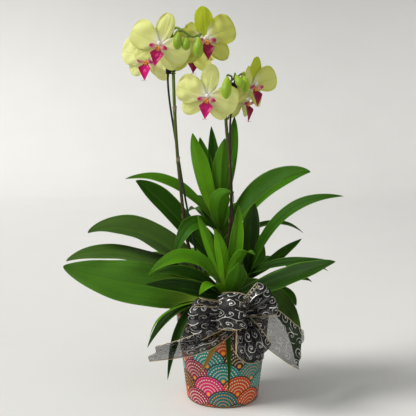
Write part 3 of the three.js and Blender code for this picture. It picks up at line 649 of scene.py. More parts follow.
def pot_finish():
    """Glazed ware painted all over with overlapping scales, each with its own colour and fans of
    raised cream dashes, over a bare clay foot. The inside and the rim are plain umber."""
    f = Finish("painted_glaze")
    x, y, z = f.split(f.coords())
    around = f.math("ARCTAN2", y, x) * (POT_SCALES / TAU)
    rise = z / SCALE_STEP
    level = f.math("FLOOR", rise)
    found = None
    for below in (-1, 0, 1):
        row = level - below
        shifted = around - f.math("FLOORED_MODULO", row, 2.0) * 0.5
        column = f.math("ROUND", shifted)
        over = (shifted - column) * SCALE_WIDTH
        up = (rise - row) * SCALE_STEP
        reach = f.math("SQRT", over * over + up * up)
        here = [reach, over, up, f.math("FLOORED_MODULO", column, float(POT_SCALES)), row]
        if found is None:
            found = here
        else:
            inside = reach < SCALE_RADIUS
            found = [old + (new - old) * inside for old, new in zip(found, here)]
    reach, over, up, column, row = found
    draw = f.draw(column, row, 3.0)
    paint = f.node("ShaderNodeValToRGB", {"ramp": PAINTS}, {"Fac": draw})
    paint.socket.node.color_ramp.interpolation = "CONSTANT"
    rings = reach / RING_PITCH
    ring = f.math("FLOOR", rings)
    spokes = f.math("ARCTAN2", over, up) * (RING_DASHES / TAU) + ring * 0.5
    dash = (1 - f.step(0.15, 0.21, f.ridge(rings))) * (1 - f.step(0.24, 0.32, f.ridge(spokes)))
    dash = dash * (reach > RING_PITCH) * (reach < SCALE_RADIUS - RING_PITCH / 2)
    line = f.step(SCALE_RADIUS - 0.0019, SCALE_RADIUS - 0.0012, reach)
    heart = 1 - f.step(0.0026, 0.0032, reach)
    warm = f.draw(column, row, 8.0) > 0.72
    colour = f.mix(dash, paint, f.mix(warm, CREAM, AMBER))
    colour = f.mix(line, colour, BROWN_LINE)
    colour = f.mix(heart, colour, AMBER)
    wear = f.noise(f.coords(), 90.0, 4.0, 0.6)
    colour = f.darken(colour, wear * 0.35 + 0.8)
    foot = 1 - f.step(0.0028, 0.0036, z)
    colour = f.mix(foot, colour, CLAY)
    inner = f.value("part")
    colour = f.mix(inner, colour, UMBER)
    height = dash * 0.7 + line * -0.4 + heart + wear * 0.12
    return f.shader(
        Base_Color=colour,
        Roughness=0.34 + foot * 0.4 + wear * 0.12,
        Normal=f.bump(height * (1 - inner), 0.0004),
        Specular_IOR_Level=0.22,
    )


DAMP_BARK, DRY_BARK = (0.045, 0.02, 0.01), (0.17, 0.085, 0.04)


def mix_finish():
    """Damp bark and fibre: dark browns, each chip a little different."""
    f = Finish("bark_mix")
    place = f.coords()
    grain = f.noise(place, 320.0, 6.0, 0.65)
    patch = f.noise(place, 60.0, 3.0)
    colour = f.mix(f.value("tone"), DAMP_BARK, DRY_BARK)
    colour = f.darken(colour, grain * 0.9 + patch * 0.5 + 0.15)
    return f.shader(
        Base_Color=colour, Roughness=grain * 0.2 + 0.7, Normal=f.bump(grain, 0.0012)
    )


PALE_ROOT, DRY_TIP, LEAF_STEM = (0.40, 0.53, 0.06), (0.16, 0.10, 0.03), (0.13, 0.19, 0.04)
WITHERED_DARK, WITHERED_LIGHT = (0.20, 0.11, 0.018), (0.42, 0.27, 0.07)
LEAF_LOOKS = {
    "orchid_leaf": {
        "lower": (0.06, 0.15, 0.006), "rib": (0.07, 0.2, 0.01), "young": (0.036, 0.15, 0.0),
        "gloss": 0.42, "veins": 22, "sheen": 0.13,
    },
    "companion_leaf": {
        "lower": (0.05, 0.16, 0.004), "rib": (0.17, 0.34, 0.03), "young": (0.095, 0.27, 0.001),
        "gloss": 0.45, "veins": 15, "sheen": 0.14,
    },
}


def leaf_finish(name, upper, lower, rib, young, gloss, veins, sheen):
    """A living leaf: darker above and paler below, a light midrib and margin, fine veins and soft
    streaks that run along it, and a tone for each blade, from old and nearly black to young and
    yellow-green with a pale root. The dark end of the tone is partly painted shade, and old blades
    get painted shade at their roots. Part 1 is a stem and part 2 a withered blade."""
    f = Finish(name)
    along, across, _ = f.split(f.coords("UV"))
    place = f.coords()
    tone, side = f.value("tone"), f.value("side")
    centre = f.bell(across, 0.5, 0.035)
    patch = f.noise(place, 45.0, 3.0)
    vein = f.wave(across, veins)
    streak = f.noise(f.vector(along * 1.4, across * 13.0, tone * 20.0), 1.0, 2.0)
    fresh = f.step(0.55, 1.0, tone)
    colour = f.mix(fresh * 0.85, f.mix(side, lower, upper), young)
    colour = f.mix(centre * (0.2 + side * 0.25), colour, rib)
    root = 1 - f.step(0.0, 0.4, along)
    colour = f.mix(root * fresh * 0.85, colour, PALE_ROOT)
    # Darker for a lower tone: partly the blade's age, partly painted shade on blades that lie in
    # shadow.
    shade = tone * 0.95 + patch * 0.25 + streak * 0.7 + vein * 0.08 - 0.15
    shade = shade * (1 - f.step(0.6, 1.0, along) * fresh * 0.45)
    # Painted shade: old blades are darkened further at their roots, in the plant's dark heart.
    colour = f.darken(colour, shade * (1 - root * (1 - fresh) * 0.55))
    margin = f.step(0.455, 0.485, abs(across - 0.5))
    colour = f.mix(margin * 0.55, colour, rib)
    tip = f.step(0.965, 1.0, along) * f.step(0.45, 0.8, tone)
    colour = f.mix(tip * 0.7, colour, DRY_TIP)
    colour = f.mix(f.kind(1), colour, LEAF_STEM)
    dry = f.kind(2)
    colour = f.mix(dry, colour, f.mix(patch, WITHERED_DARK, WITHERED_LIGHT))
    height = vein * 0.5 - centre * side * 1.6 + patch * 0.6
    return f.shader(
        Base_Color=colour,
        Roughness=gloss + patch * 0.16 + dry * 0.3,
        Normal=f.bump(height, 0.0005, 0.8),
        Specular_IOR_Level=sheen,
        Subsurface_Weight=0.06,
        Subsurface_Radius=(0.6, 1.0, 0.2),
        Subsurface_Scale=0.001,
    )


HEART_WHITE, STRONG_GREEN = (0.93, 0.93, 0.84), (0.37, 0.45, 0.003)
COLUMN_WHITE, COLUMN_FOOT, CAP_WHITE = (0.88, 0.86, 0.74), (0.75, 0.32, 0.30), (0.93, 0.92, 0.88)


def tepal_finish(pale, green):
    """Tepals of pale yellow-green, whiter at the heart and greener at the rim and along fine
    branching veins. Part 1 is the column, part 2 its cap, and part 3 a stronger green."""
    f = Finish("tepal")
    along, across, _ = f.split(f.coords("UV"))
    place = f.coords()
    side, tone = f.value("side"), f.value("tone")
    bend = f.noise(place, 70.0, 2.0) - 0.5
    spread = (across - 0.5) * (1 + along * 0.6) + bend * 0.05
    vein = f.bell(f.ridge(spread * 9.0), 0.0, 0.16) * (1 - f.step(0.55, 0.98, along))
    centre = f.bell(across, 0.5, 0.045)
    rim = f.step(0.30, 0.5, abs(across - 0.5)) + f.step(0.8, 1.0, along)
    colour = f.mix(rim * 0.25 + tone * 0.7, pale, green)
    colour = f.mix(f.bell(along, 0.0, 0.42) * 0.95, colour, HEART_WHITE)
    colour = f.mix(centre * 0.15 + vein * 0.14, colour, green)
    colour = f.mix((1 - side) * 0.35, colour, green)
    colour = f.mix(f.kind(3) * 0.9, colour, STRONG_GREEN)
    column = f.kind(1)
    colour = f.mix(column, colour, COLUMN_WHITE)
    colour = f.mix(column * (1 - f.step(0.0, 0.6, along)) * 0.6, colour, COLUMN_FOOT)
    colour = f.mix(f.kind(2), colour, CAP_WHITE)
    height = vein * 0.6 - centre * 1.2 + f.noise(place, 400.0, 2.0) * 0.3
    return f.shader(
        Base_Color=colour,
        Roughness=0.46,
        Normal=f.bump(height, 0.0003, 0.6),
        Specular_IOR_Level=0.2,
        Subsurface_Weight=0.35,
        Subsurface_Radius=(1.0, 1.0, 0.45),
        Subsurface_Scale=0.004,
    )


PINK_TIP, PINK_EDGE, PINK_THREAD = (0.62, 0.06, 0.34), (0.80, 0.30, 0.52), (0.72, 0.22, 0.42)
THROAT, THROAT_BAR, CLAW = (0.86, 0.55, 0.38), (0.62, 0.06, 0.02), (0.75, 0.2, 0.06)
CALLUS, CALLUS_SPOT = (0.82, 0.36, 0.05), (0.45, 0.02, 0.02)


def lip_finish(deep, bright):
    """Lips of magenta that deepens to crimson. Part 0 is the middle lobe, 1 a side lobe with a
    pale rim and a barred throat, 2 the callus, orange with red spots, and 3 the pink threads of
    the tip."""
    f = Finish("lip")
    along, across, _ = f.split(f.coords("UV"))
    place = f.coords()
    side_lobe, callus, thread = (f.kind(number) for number in (1, 2, 3))
    vein = f.bell(f.ridge((across - 0.5) * 8.0), 0.0, 0.2)
    patch = f.noise(place, 260.0, 3.0)
    tone = f.value("tone")
    colour = f.mix(f.step(0.1, 0.9, along) * 0.4 + patch * 0.3 + tone * 1.1 - 0.5, deep, bright)
    colour = f.mix(vein * 0.35, colour, deep)
    colour = f.mix(f.step(0.7, 1.0, along) * tone * 0.7, colour, PINK_TIP)
    lobe = f.mix(tone * 0.6 + 0.4, deep, bright)
    pale = f.step(0.12, 0.42, abs(across - 0.5)) * (tone * 0.5 + 0.35)
    pale = pale * (1 - f.step(0.6, 0.95, along))
    lobe = f.mix(pale * 0.7, lobe, PINK_EDGE)
    lobe = f.mix(1 - f.step(0.3, 0.75, along), lobe, THROAT)
    lobe = f.mix((1 - f.step(0.3, 0.7, along)) * vein, lobe, THROAT_BAR)
    colour = f.mix(side_lobe, colour, f.mix(vein * 0.35, lobe, deep))
    claw = (1 - f.step(0.06, 0.2, along)) * (1 - side_lobe)
    colour = f.mix(claw * 0.8, colour, CLAW)
    spots = f.step(0.55, 0.6, f.noise(place, 900.0, 1.0))
    colour = f.mix(callus, colour, f.mix(spots, CALLUS, CALLUS_SPOT))
    colour = f.mix(thread, colour, PINK_THREAD)
    return f.shader(
        Base_Color=colour,
        Roughness=0.36,
        Normal=f.bump(vein * 0.5 + patch * 0.5, 0.0003, 0.6),
        Subsurface_Weight=0.15,
        Subsurface_Radius=(1.0, 0.3, 0.5),
        Subsurface_Scale=0.0015,
        Specular_IOR_Level=0.25,
    )


STEM_BROWN, STEM_OLIVE, STEM_GREEN = (0.03, 0.014, 0.007), (0.052, 0.062, 0.009), (0.12, 0.19, 0.02)
BUD_LIGHT, BUD_DARK, BUD_TIP = (0.32, 0.47, 0.025), (0.11, 0.22, 0.008), (0.38, 0.48, 0.06)
BRACT = (0.24, 0.19, 0.09)


def spike_finish():
    """A flower spike: dark brown near the mix, then olive, greener at the flowers. Part 1 is a
    bud, lime green with a darker side and seams, and part 2 a papery bract."""
    f = Finish("spike")
    along, across, _ = f.split(f.coords("UV"))
    place = f.coords()
    _, _, z = f.split(place)
    patch = f.noise(place, 180.0, 4.0, 0.6)
    colour = f.mix(f.step(0.25, 0.36, z), STEM_BROWN, STEM_OLIVE)
    colour = f.mix(f.step(0.36, 0.5, z), colour, STEM_GREEN)
    colour = f.darken(colour, patch * 0.7 + 0.65)
    shade = f.bell(across, 0.3, 0.3) * f.step(0.1, 0.6, along)
    bud = f.mix(shade * 0.6, BUD_LIGHT, BUD_DARK)
    bud = f.mix(f.step(0.75, 1.0, along) * 0.5, bud, BUD_TIP)
    bud = f.darken(bud, f.value("tone") * 0.3 + patch * 0.2 + 0.75)
    colour = f.mix(f.kind(1), colour, bud)
    colour = f.mix(f.kind(2), colour, BRACT)
    return f.shader(
        Base_Color=colour,
        Roughness=patch * 0.2 + 0.36,
        Normal=f.bump(patch, 0.0003, 0.6),
        Specular_IOR_Level=0.25,
        Subsurface_Weight=0.1,
        Subsurface_Radius=(0.7, 1.0, 0.3),
        Subsurface_Scale=0.0012,
    )


# Two near colours, roughness, how many ribs there are and how deep.
PLAIN_LOOKS = {
    "stake_green": ((0.005, 0.012, 0.009), (0.013, 0.026, 0.018), 0.5, 70, 0.0001),
    "stake_brown": ((0.014, 0.007, 0.006), (0.036, 0.015, 0.011), 0.55, 60, 0.0001),
    "clip_black": ((0.008, 0.008, 0.008), (0.02, 0.02, 0.02), 0.3, 9, 0.0001),
    "twine": ((0.03, 0.028, 0.018), (0.09, 0.08, 0.05), 0.8, 90, 0.0004),
}


def plain_finish(name):
    """A moulded or spun surface: two near colours, and fine ribs along the piece's own length."""
    colour, other, roughness, ribs, depth = PLAIN_LOOKS[name]
    f = Finish(name)
    along, _, _ = f.split(f.coords("UV"))
    patch = f.noise(f.coords(), 240.0, 4.0, 0.6)
    rib = f.wave(along, ribs)
    return f.shader(
        Base_Color=f.mix(patch, colour, other),
        Roughness=patch * 0.2 + roughness,
        Normal=f.bump(rib + patch * 0.6, depth, 0.8),
        Specular_IOR_Level=0.25,
    )


# The print's cell and the net's thread pitch, and how many arms a scroll has for each cell.
SCROLL_CELL, THREAD_PITCH, SCROLL_ARMS = 0.0175, 0.0016, 3.1


def ribbon_finish(net, print_colour):
    """Sheer net with a printed scroll. UVs are in metres on the cloth. The net is a grid of fine
    threads with holes between them. The print is a spiral in each cell of a grid, turned by a draw
    of its own, with stems that wind between the rows. A noise paints uneven gleams of light on the
    net and the print, as painted highlights."""
    f = Finish("printed_organza")
    s, w, _ = f.split(f.coords("UV"))
    gx, gy = s / SCROLL_CELL, w / SCROLL_CELL
    ix, iy = f.math("FLOOR", gx), f.math("FLOOR", gy)
    draw = f.draw(ix, iy, 1.0)
    hand = f.math("SIGN", draw - 0.5)
    x = (gx - ix - 0.5) * hand
    y = gy - iy - 0.5
    reach = f.math("SQRT", x * x + y * y)
    turn = f.math("ARCTAN2", y, x) / TAU + draw * 7.0
    coil = f.ridge(turn + reach * SCROLL_ARMS) / SCROLL_ARMS
    outer = 0.46 - draw * 0.16
    spiral = (1 - f.step(0.02, 0.038, coil)) * (reach > 0.05) * (reach < outer)
    knob = 1 - f.step(0.05, 0.075, reach)
    stem = f.ridge(gy + f.math("SINE", gx * np.pi) * 0.16 + 0.5)
    vine = (1 - f.step(0.02, 0.04, stem)) * (f.draw(ix, f.math("ROUND", gy), 4.0) > 0.55)
    ink = f.math("MAXIMUM", f.math("MAXIMUM", spiral, knob), vine)
    warp, weft = f.ridge(s / THREAD_PITCH), f.ridge(w / THREAD_PITCH)
    woven = f.math("MAXIMUM", 1 - f.step(0.1, 0.17, warp), 1 - f.step(0.1, 0.17, weft))
    # Painted highlights: a noise lightens the net up to 2.6 times and varies the print's
    # brightness, for light caught on the cloth.
    painted_gleam = f.noise(f.coords(), 110.0, 3.0)
    colour = f.mix(painted_gleam, net, tuple(2.6 * c for c in net))
    colour = f.mix(ink, colour, f.darken(print_colour, painted_gleam * 1.3 + 0.2))
    alpha = f.math("MAXIMUM", ink * 0.88, woven * 0.22 + 0.37)
    return f.shader(
        Base_Color=colour,
        Metallic=ink * 0.45,
        Roughness=0.42 - ink * 0.1,
        Alpha=alpha,
        Normal=f.bump(woven * 0.4 + ink, 0.00015, 0.6),
        Specular_IOR_Level=0.3,
    )


def wire_finish(colour):
    """Fine gilt wire, wound with thread."""
    f = Finish("gilt_wire")
    along, across, _ = f.split(f.coords("UV"))
    wound = f.wave(along * 160.0 + across)
    return f.shader(
        Base_Color=f.mix(wound, colour, tuple(0.55 * c for c in colour)),
        Metallic=0.7,
        Roughness=0.38,
        Normal=f.bump(wound, 0.0001),
    )


def stage_finish(colour):
    """Plain pale floor with a very slight unevenness, and painted shade that darkens it to the
    right and far back.
    """
    f = Finish("stage")
    patch = f.noise(f.coords(), 6.0, 4.0)
    x, y, _ = f.split(f.coords())
    # Painted shade: the colour falls to 0.74 of itself to the right and far back.
    far = f.step(-0.6, 1.6, x + y * 0.35 - 0.3)
    return f.shader(
        Base_Color=f.mix(far + (patch - 0.5) * 0.2, colour, tuple(0.74 * c for c in colour)),
        Roughness=0.62,
        Normal=f.bump(f.noise(f.coords(), 40.0, 3.0), 0.0006, 0.4),
    )


# ---------------------------------------------------------------- plant shapes

def spread_out(centre, across, reach, over, lift):
    """A grid on a middle line: each point its reach across and its lift over the line."""
    return centre[:, None] + across[:, None] * reach[..., None] + over[:, None] * lift[..., None]


def leaf(points, width, facing=None, roll=0, fold=0.3, shape=LANCE, rows=44, columns=14, seed=0):
    """A leaf on its midrib. Its width runs level and square to its travel, or at the compass angle
    facing, and narrows a little more over its last two fifths. roll turns the nearer edge down.
    Both edges rise over the midrib by a little more than fold times |u|^1.4, and by still more at
    the root where it clasps its stem, with a groove at the midrib and soft waves."""
    t, u = eased(rows), np.linspace(-1, 1, columns + 1)
    centre, tangent = bezier(points, t)
    travel = np.subtract(points[-1], points[0])
    level = unit(np.array([-travel[1], travel[0], 0.0]))
    if level[1] > 0:
        level = -level
    if facing is not None:
        level = np.array([np.cos(np.radians(facing)), np.sin(np.radians(facing)), 0.0])
    side = unit(level - tangent * (tangent @ level)[:, None])
    up = np.cross(tangent, side)
    flipped = up[np.searchsorted(t, 0.4), 2] < 0
    if flipped:
        up = -up
    angle = np.radians(roll)
    across = side * np.cos(angle) - up * np.sin(angle)
    over = up * np.cos(angle) + side * np.sin(angle)
    taper = 1 - 0.32 * np.clip((t - 0.6) / 0.4, 0, 1) ** 1.5
    half = (width / 2 * shape(t) * taper)[:, None]
    clasp = fold + 0.08 + 0.8 * np.exp(-t / 0.05)[:, None]
    lift = clasp * half * np.abs(u) ** 1.4 - 0.05 * half * np.exp(-((u / 0.12) ** 2))
    waves = ripples(t[:, None] * 2.2, u + 0 * lift, 1.0, seed)
    lift = lift + 0.10 * half * waves * np.abs(u) ** 1.5
    grid = spread_out(centre, across, half * u, over, lift)
    return grid[:, ::-1] if flipped else grid


def rooted(points, radius):
    """The leaf's first point moved outwards into its stem, on the side that it grows towards."""
    away = np.subtract(points[-1], points[0]) * (1, 1, 0)
    first = np.add(points[0], unit(away) * 0.6 * radius)
    return [tuple(first), *points[1:]]


def shoot(form, name, thickness, shape, seed):
    """All the leaves of one shoot, and its stem with a swelling at each leaf."""
    radius, line = STEMS[name]
    draw = np.random.default_rng(seed)
    for number, (points, width, how) in enumerate(LEAVES[name]):
        grid = leaf(rooted(points, radius), width, shape=shape, seed=seed + number, **how)
        u = np.linspace(-1, 1, grid.shape[1])
        t = eased(grid.shape[0] - 1)[:, None]
        body = thickness * (1 - 0.55 * u**2) * (1 - 0.4 * t)
        part = 2.0 if (name, number) == BROWN_LEAF else 0.0
        form.shell(grid, body, tone=BLADE_TONES_AND_SHADE[name].get(number, draw.uniform()), part=part)
    path = smooth_path(line, 60)
    rise = np.linspace(0, 1, len(path))
    heights = np.array([points[0][2] for points, _, _ in LEAVES[name]])
    swell = np.exp(-(((path[:, 2:] - heights) / 2.2) ** 2)).sum(1)
    girth = radius * 0.9 * (1 - 0.25 * rise**3) + 0.5 * np.minimum(swell, 1)
    form.ringed(tube(path, girth, 20), tone=0.5, part=1.0)


def flower_axes(name, share=1.0):
    """Centre, right, up, forward and size of a flower, its top leaning to its right by a share of
    its lean: the lip hangs straighter than the rest."""
    centre, facing, lean, size = FLOWERS[name][:4]
    forward = unit(np.array(facing, float))
    right = unit(-np.cross(forward, (0, 0, 1)))
    up = -np.cross(right, forward)
    angle = np.radians(lean * share)
    top = up * np.cos(angle) + right * np.sin(angle)
    beside = right * np.cos(angle) - up * np.sin(angle)
    return np.array(centre, float), beside, top, forward, size


def place_in(axes, grid):
    """A grid given as right, up, forward of a flower, in the object's own axes."""
    centre, right, up, forward, _ = axes
    return centre + grid[..., :1] * right + grid[..., 1:2] * up + grid[..., 2:] * forward


def tepal(axes, angle, length, width, shape, depth, cup, seed):
    """A tepal that leaves the hub at an angle from the flower's top, broader on its upper side. It
    rises 5 t - 8 t^2 towards the viewer, less what sets it back, and is turned forwards by cup. It
    is cupped, with a groove and a gently waved edge."""
    t, u = eased(34)[:, None], np.linspace(-1, 1, 21)
    size = axes[4]
    turn = np.radians(angle)
    half = size * width / 2 * shape(t) * (1 - 0.12 * np.sign(np.round(np.sin(turn), 3)) * u)
    reach = 3 + size * (length - 2) * t + 0 * u
    wave = ripples(t * 2 + 0 * u, u * 1.2 + 0 * t, 1.0, seed)
    forward = 5 * t - 8 * t**2 - depth * (1 + np.sqrt(t)) / 2 - 0.06 * half * u**2
    groove = 0.5 * np.exp(-((u / 0.09) ** 2)) * (1 - t)
    forward = forward + 0.07 * half * wave * (0.2 + np.abs(u)) - groove
    cos, sin = np.cos(np.radians(cup)), np.sin(np.radians(cup))
    reach, forward = reach * cos - forward * sin, forward * cos + reach * sin
    over = half * u
    right = reach * np.sin(turn) + over * np.cos(turn)
    up = reach * np.cos(turn) - over * np.sin(turn)
    return place_in(axes, np.stack([right, up, forward], -1))[:, ::-1]


def flower_tepals(form, name):
    """Two broad petals in front of three sepals, with the column and its cap at the heart."""
    fan, close, _, tone = FLOWERS[name][4:]
    axes = flower_axes(name)
    seed = ord(name) * 10
    plan = [(angle, 43, 41, PETAL, 0, close) for angle in fan]
    plan += [(0, 43, 26, SEPAL, 4, 0.7 * close)]
    plan += [(angle, 40, 26, SEPAL, 4, 0) for angle in (134, -134)]
    for number, (angle, length, width, shape, depth, cup) in enumerate(plan):
        grid = tepal(axes, angle, length, width, shape, depth, cup, seed + number)
        u = np.linspace(-1, 1, grid.shape[1])
        strong = 3.0 if (name, number) in GREEN_SEPALS else 0.0
        form.shell(grid, 1.0 - 0.5 * u**2, tone=tone, part=strong)
    path = smooth_path([(0, 0, -HUB), (0, 0, 0), (0, 0.6, 4.5), (0, 2.2, 9)], 14)
    girth = np.interp(np.linspace(0, 1, 14), [0, 0.25, 0.5, 0.85, 1], [2.6, 3.4, 2.3, 2.7, 2.0])
    form.ringed(place_in(axes, tube(path, girth, 18)), part=1.0)
    cap = egg(1.9, 2.0, 10, 18) * (1, 0.8, 1) + (0, 2.4, 9.0)
    form.ringed(place_in(axes, cap), part=2.0)


def lobe(axes, points, width, shape, across, cup, rows=26, columns=14, seed=1):
    """A lobe of the lip on a curve in the flower's own axes, cupped towards the column."""
    t, u = eased(rows), np.linspace(-1, 1, columns + 1)
    centre, tangent = bezier(points, t)
    side = unit(np.array(across, float))
    side = unit(side - tangent * (tangent @ side)[:, None])
    over = np.cross(tangent, side)
    half = (width / 2 * shape(t))[:, None]
    waves = ripples(t[:, None] * 2, u + 0 * half, 1.0, seed)
    bend = cup * half * np.abs(u) ** 1.6 + 0.08 * half * waves
    return place_in(axes, spread_out(centre, side, half * u, over, bend))


def flower_lip(form, name):
    """A pointed middle lobe, two side lobes that rise beside the column, the callus between them
    and two threads that curl at the tip."""
    axes = flower_axes(name, 0.6)
    tone = FLOWERS[name][6]
    middle = [(0, -6.2, 4.8), (0, -18, 10), (0, -30.5, 11)]
    form.shell(lobe(axes, middle, 20, kite, (1, 0, 0), 0.3, seed=ord(name)), 0.9, tone)
    for way in (-1, 1):
        rise = [(way * 0.5, -5.5, 4.5), (way * 6.5, -5.5, 9.5), (way * 12, -2.5, 12)]
        grid = lobe(axes, rise, 9.5, ear, (0, 0.75, 0.66), -0.35 * way, seed=ord(name) + way)
        form.shell(grid, 0.8, tone, 1.0)
        curl = [(0.5, -29, 11), (1.2, -31.2, 11.6), (2.6, -31.4, 13.2), (3.2, -29.8, 14.4)]
        curl = smooth_path([(way * right, up, out) for right, up, out in curl], 18)
        form.ringed(place_in(axes, tube(curl, np.linspace(0.5, 0.2, 18), 8)), part=3.0)
        bead = egg(1.5, 3.4, 8, 14)[..., [0, 2, 1]] * (1, -1, 1) + (way * 1.3, -6.6, 7.6)
        form.ringed(place_in(axes, bead), part=2.0)
    seat = egg(2.4, 2.4, 8, 14) + (0, -5.2, 3.9)
    form.ringed(place_in(axes, seat), part=2.0)


def bud(form, stalk, tip, width, seed):
    """A blunt egg with three seams on the end of its stalk, widest towards its tip: its radius
    follows sin(pi t^1.32)^0.55 along its length, less a little at each seam."""
    start, tip = np.array(stalk[-1], float), np.array(tip, float)
    way = unit(tip - start)
    length = np.linalg.norm(tip - start) + 3
    t = eased(28)[1:-1]
    angle = np.linspace(0, TAU, 24, endpoint=False)
    girth = width / 2 * np.sin(np.pi * t**1.32) ** 0.55
    seam = 1 - 0.07 * np.exp(-((np.mod(angle * 3 / TAU + 0.5, 1) - 0.5) / 0.09) ** 2)
    sag = np.outer(0.5 * np.sin(np.pi * t), (0, -1, 0))
    path = start + np.outer(t * length, way) + sag
    form.ringed(tube(path, girth[:, None] * seam, 24), tone=seed / 7, part=1.0)
    line = smooth_path([*stalk, tuple(start + 0.2 * (tip - start))], 16)
    form.ringed(tube(line, np.linspace(1.2, 1.5, 16), 10))


def bract(form, place, way, out, length=9.0):
    """A small sheath that hugs the spike and points along it."""
    way, out = unit(np.array(way, float)), unit(np.array(out, float))
    out = unit(out - way * (out @ way))
    side = np.cross(way, out)
    t, u = eased(12)[:, None], np.linspace(-1, 1, 9)
    wrap = u * 1.5 * SEPAL(t)
    radius = 2.5 + 1.2 * t**2
    grid = (
        np.asarray(place) + way * (length * t + 0 * u)[..., None]
        + out * (radius * np.cos(wrap))[..., None] + side * (radius * np.sin(wrap))[..., None]
    )
    form.shell(grid[:, ::-1], 0.35, part=2.0)


def spike(form, side):
    """A flower spike: tapered stem with nodes and bracts, stalks to its flowers, and its buds."""
    path = smooth_path(SPIKES[side], 260)
    t = np.linspace(0, 1, len(path))
    nodes = np.array([0.2, 0.36, 0.52, 0.66] if side == "left" else [0.24, 0.44, 0.64])
    swell = np.exp(-(((t[:, None] - nodes) / 0.005) ** 2)).sum(1)
    tip = np.clip((t - 0.8) / 0.2, 0, 1)
    form.ringed(tube(path, 2.35 - 0.9 * tip + 0.45 * swell, 16))
    tangent = unit(np.gradient(path, axis=0))
    for number, node in enumerate(nodes):
        k = int(node * (len(path) - 1))
        out = (np.cos(2.4 * number + 0.6), np.sin(2.4 * number - 1.2), 0)
        bract(form, path[k], tangent[k], out)
    for name, route in PEDICELS[side].items():
        origin, _, _, forward, _ = flower_axes(name)
        ends = [tuple(origin - forward * (HUB + back)) for back in (10, 0.3)]
        line = smooth_path([*route, *ends], 34)
        form.ringed(tube(line, np.linspace(1.25, 1.7, 34), 12), tone=0.9)
    for number, (stalk, end, width) in enumerate(BUDS[side]):
        bud(form, stalk, end, width, number + (4 if side == "right" else 1))


def at_height(points, z):
    """Where a stem's centre line is at a height."""
    line = smooth_path(points, 500)
    return line[np.argmax(line[:, 2] >= z)]


# ---------------------------------------------------------------- ribbon shapes

def pot_radius(z):
    """The pot's outer radius at a height."""
    sizes = bpy.context.scene.pot_sizes
    return sizes.base_radius / MM + sizes.taper * (z - FOOT)


def cloth_uv(grid, width):
    """UVs in metres: the run along the middle line, and the width across."""
    middle = grid[:, grid.shape[1] // 2]
    run = np.concatenate([[0], np.cumsum(np.linalg.norm(np.diff(middle, axis=0), axis=1))])
    across = np.linspace(0, width, grid.shape[1])
    return np.stack(np.meshgrid(run, across, indexing="ij"), -1) * MM


def pleated(u, width, spread, count, phase):
    """How far each point across a gathered ribbon stands out: sine pleats, deep enough to take up
    most of the cloth's width that its spread leaves over."""
    spare = np.sqrt(np.maximum((width / spread) ** 2 - 1, 0) / 0.45)
    return 0.8 * spare * spread / (TAU * count) * np.sin(count * np.pi * (u + 1) + phase)


def loop_grid(out, across, length, gape, shift, width, seed):
    """A loop of ribbon: from the knot out along its axis and back, open by gape, narrow at the knot
    and nearly as wide as the ribbon at its bend. Pleats run out from the knot and fade."""
    away = unit(np.array(out, float))
    wide = np.array(across, float)
    wide = unit(wide - away * (wide @ away))
    open_way = np.cross(away, wide)
    start = np.radians(22)
    angle = np.linspace(start, TAU - start, 121)[:, None]
    u = np.linspace(-1, 1, 61)
    reach = (1 - np.cos(angle)) / 2
    root = 11
    half = (root + (0.8 * width - root) * reach**0.6) / 2
    drift = seed + 0.5 * ripples(angle * 5 + 0 * u, u * 6 + 0 * angle, 14, seed)
    pleat = pleated(u, width, 2 * half, 3.2, drift)
    crumple = 1.5 * ripples(angle * 9 + 0 * u, u * 14 + 0 * angle, 15, seed)
    open_by = gape * np.sin(angle) * np.sqrt(reach + 0.06)
    over = open_by + pleat + crumple * np.sqrt(reach)
    along = 2 + length * reach * (1 - 0.18 * u**4 * reach**2)
    along = along + 0.8 * ripples(angle * 6, u * 20, 24, seed + 5) * reach
    spot = np.add(KNOT_CENTRE, shift) + away * along[..., None]
    return spot + open_way * over[..., None] + wide * (half * u)[..., None]


def tail_grid(points, widths, across, count, cloth, seed):
    """A tail of ribbon along a curve, its spread width from root to end, with lengthwise pleats
    and a slanting cut at its end."""
    t = np.linspace(0, 1, 91)
    u = np.linspace(-1, 1, 61)
    slant = t[:, None] * (1 - 0.07 * (1 + u) * t[:, None])
    centre, tangent = bezier(points, t)
    wide = unit(np.array(across, float))
    over = unit(np.cross(tangent, wide))
    start, middle, end = widths
    opening = np.sin(np.minimum(1, 2.2 * t) * np.pi / 2)
    width = (start + (middle - start) * opening + (end - middle) * t)[:, None]
    fold = pleated(u, cloth, width, count, 0.8 * t[:, None] + seed)
    fold = fold + 0.9 * ripples(t[:, None] * 90 + 0 * u, u * 16 + 0 * width, 17, seed)
    grid = spread_out(centre, wide + 0 * centre, width / 2 * u, over, fold)
    back = (slant - t[:, None]) * length_of(centre)
    return grid + tangent[:, None] * back[..., None]


def wired(lines, radius, closed=False):
    """A wire along each of the long edges of a ribbon."""
    form = Form()
    for line in lines:
        rings = tube(line, radius, 7)
        form.ringed(rings[:-1] if closed else rings, closed=closed)
    return form


# ---------------------------------------------------------------- settings of the add-on

def size_property(name, description, default):
    """A length that a user can change, in metres."""
    return FloatProperty(name=name, description=description, default=default, unit="LENGTH")


def colour_property(name, description, default):
    """A colour that a user can change."""
    return FloatVectorProperty(
        name=name, description=description, default=default, subtype="COLOR", min=0, max=1
    )


class PotSizes(bpy.types.PropertyGroup):
    """Sizes of the cover pot, and how many bark chips lie in it"""

    height: size_property("Height", "Height of the pot", (RIM - FOOT) * MM)
    base_radius: size_property("Base radius", "Outer radius at the underside", 0.0527)
    taper: FloatProperty(name="Taper", description="Growth of radius with height", default=0.119)
    wall: size_property("Wall", "Thickness of the wall", 0.0045)
    chips: IntProperty(name="Bark chips", description="Chips on the potting mix", default=330)


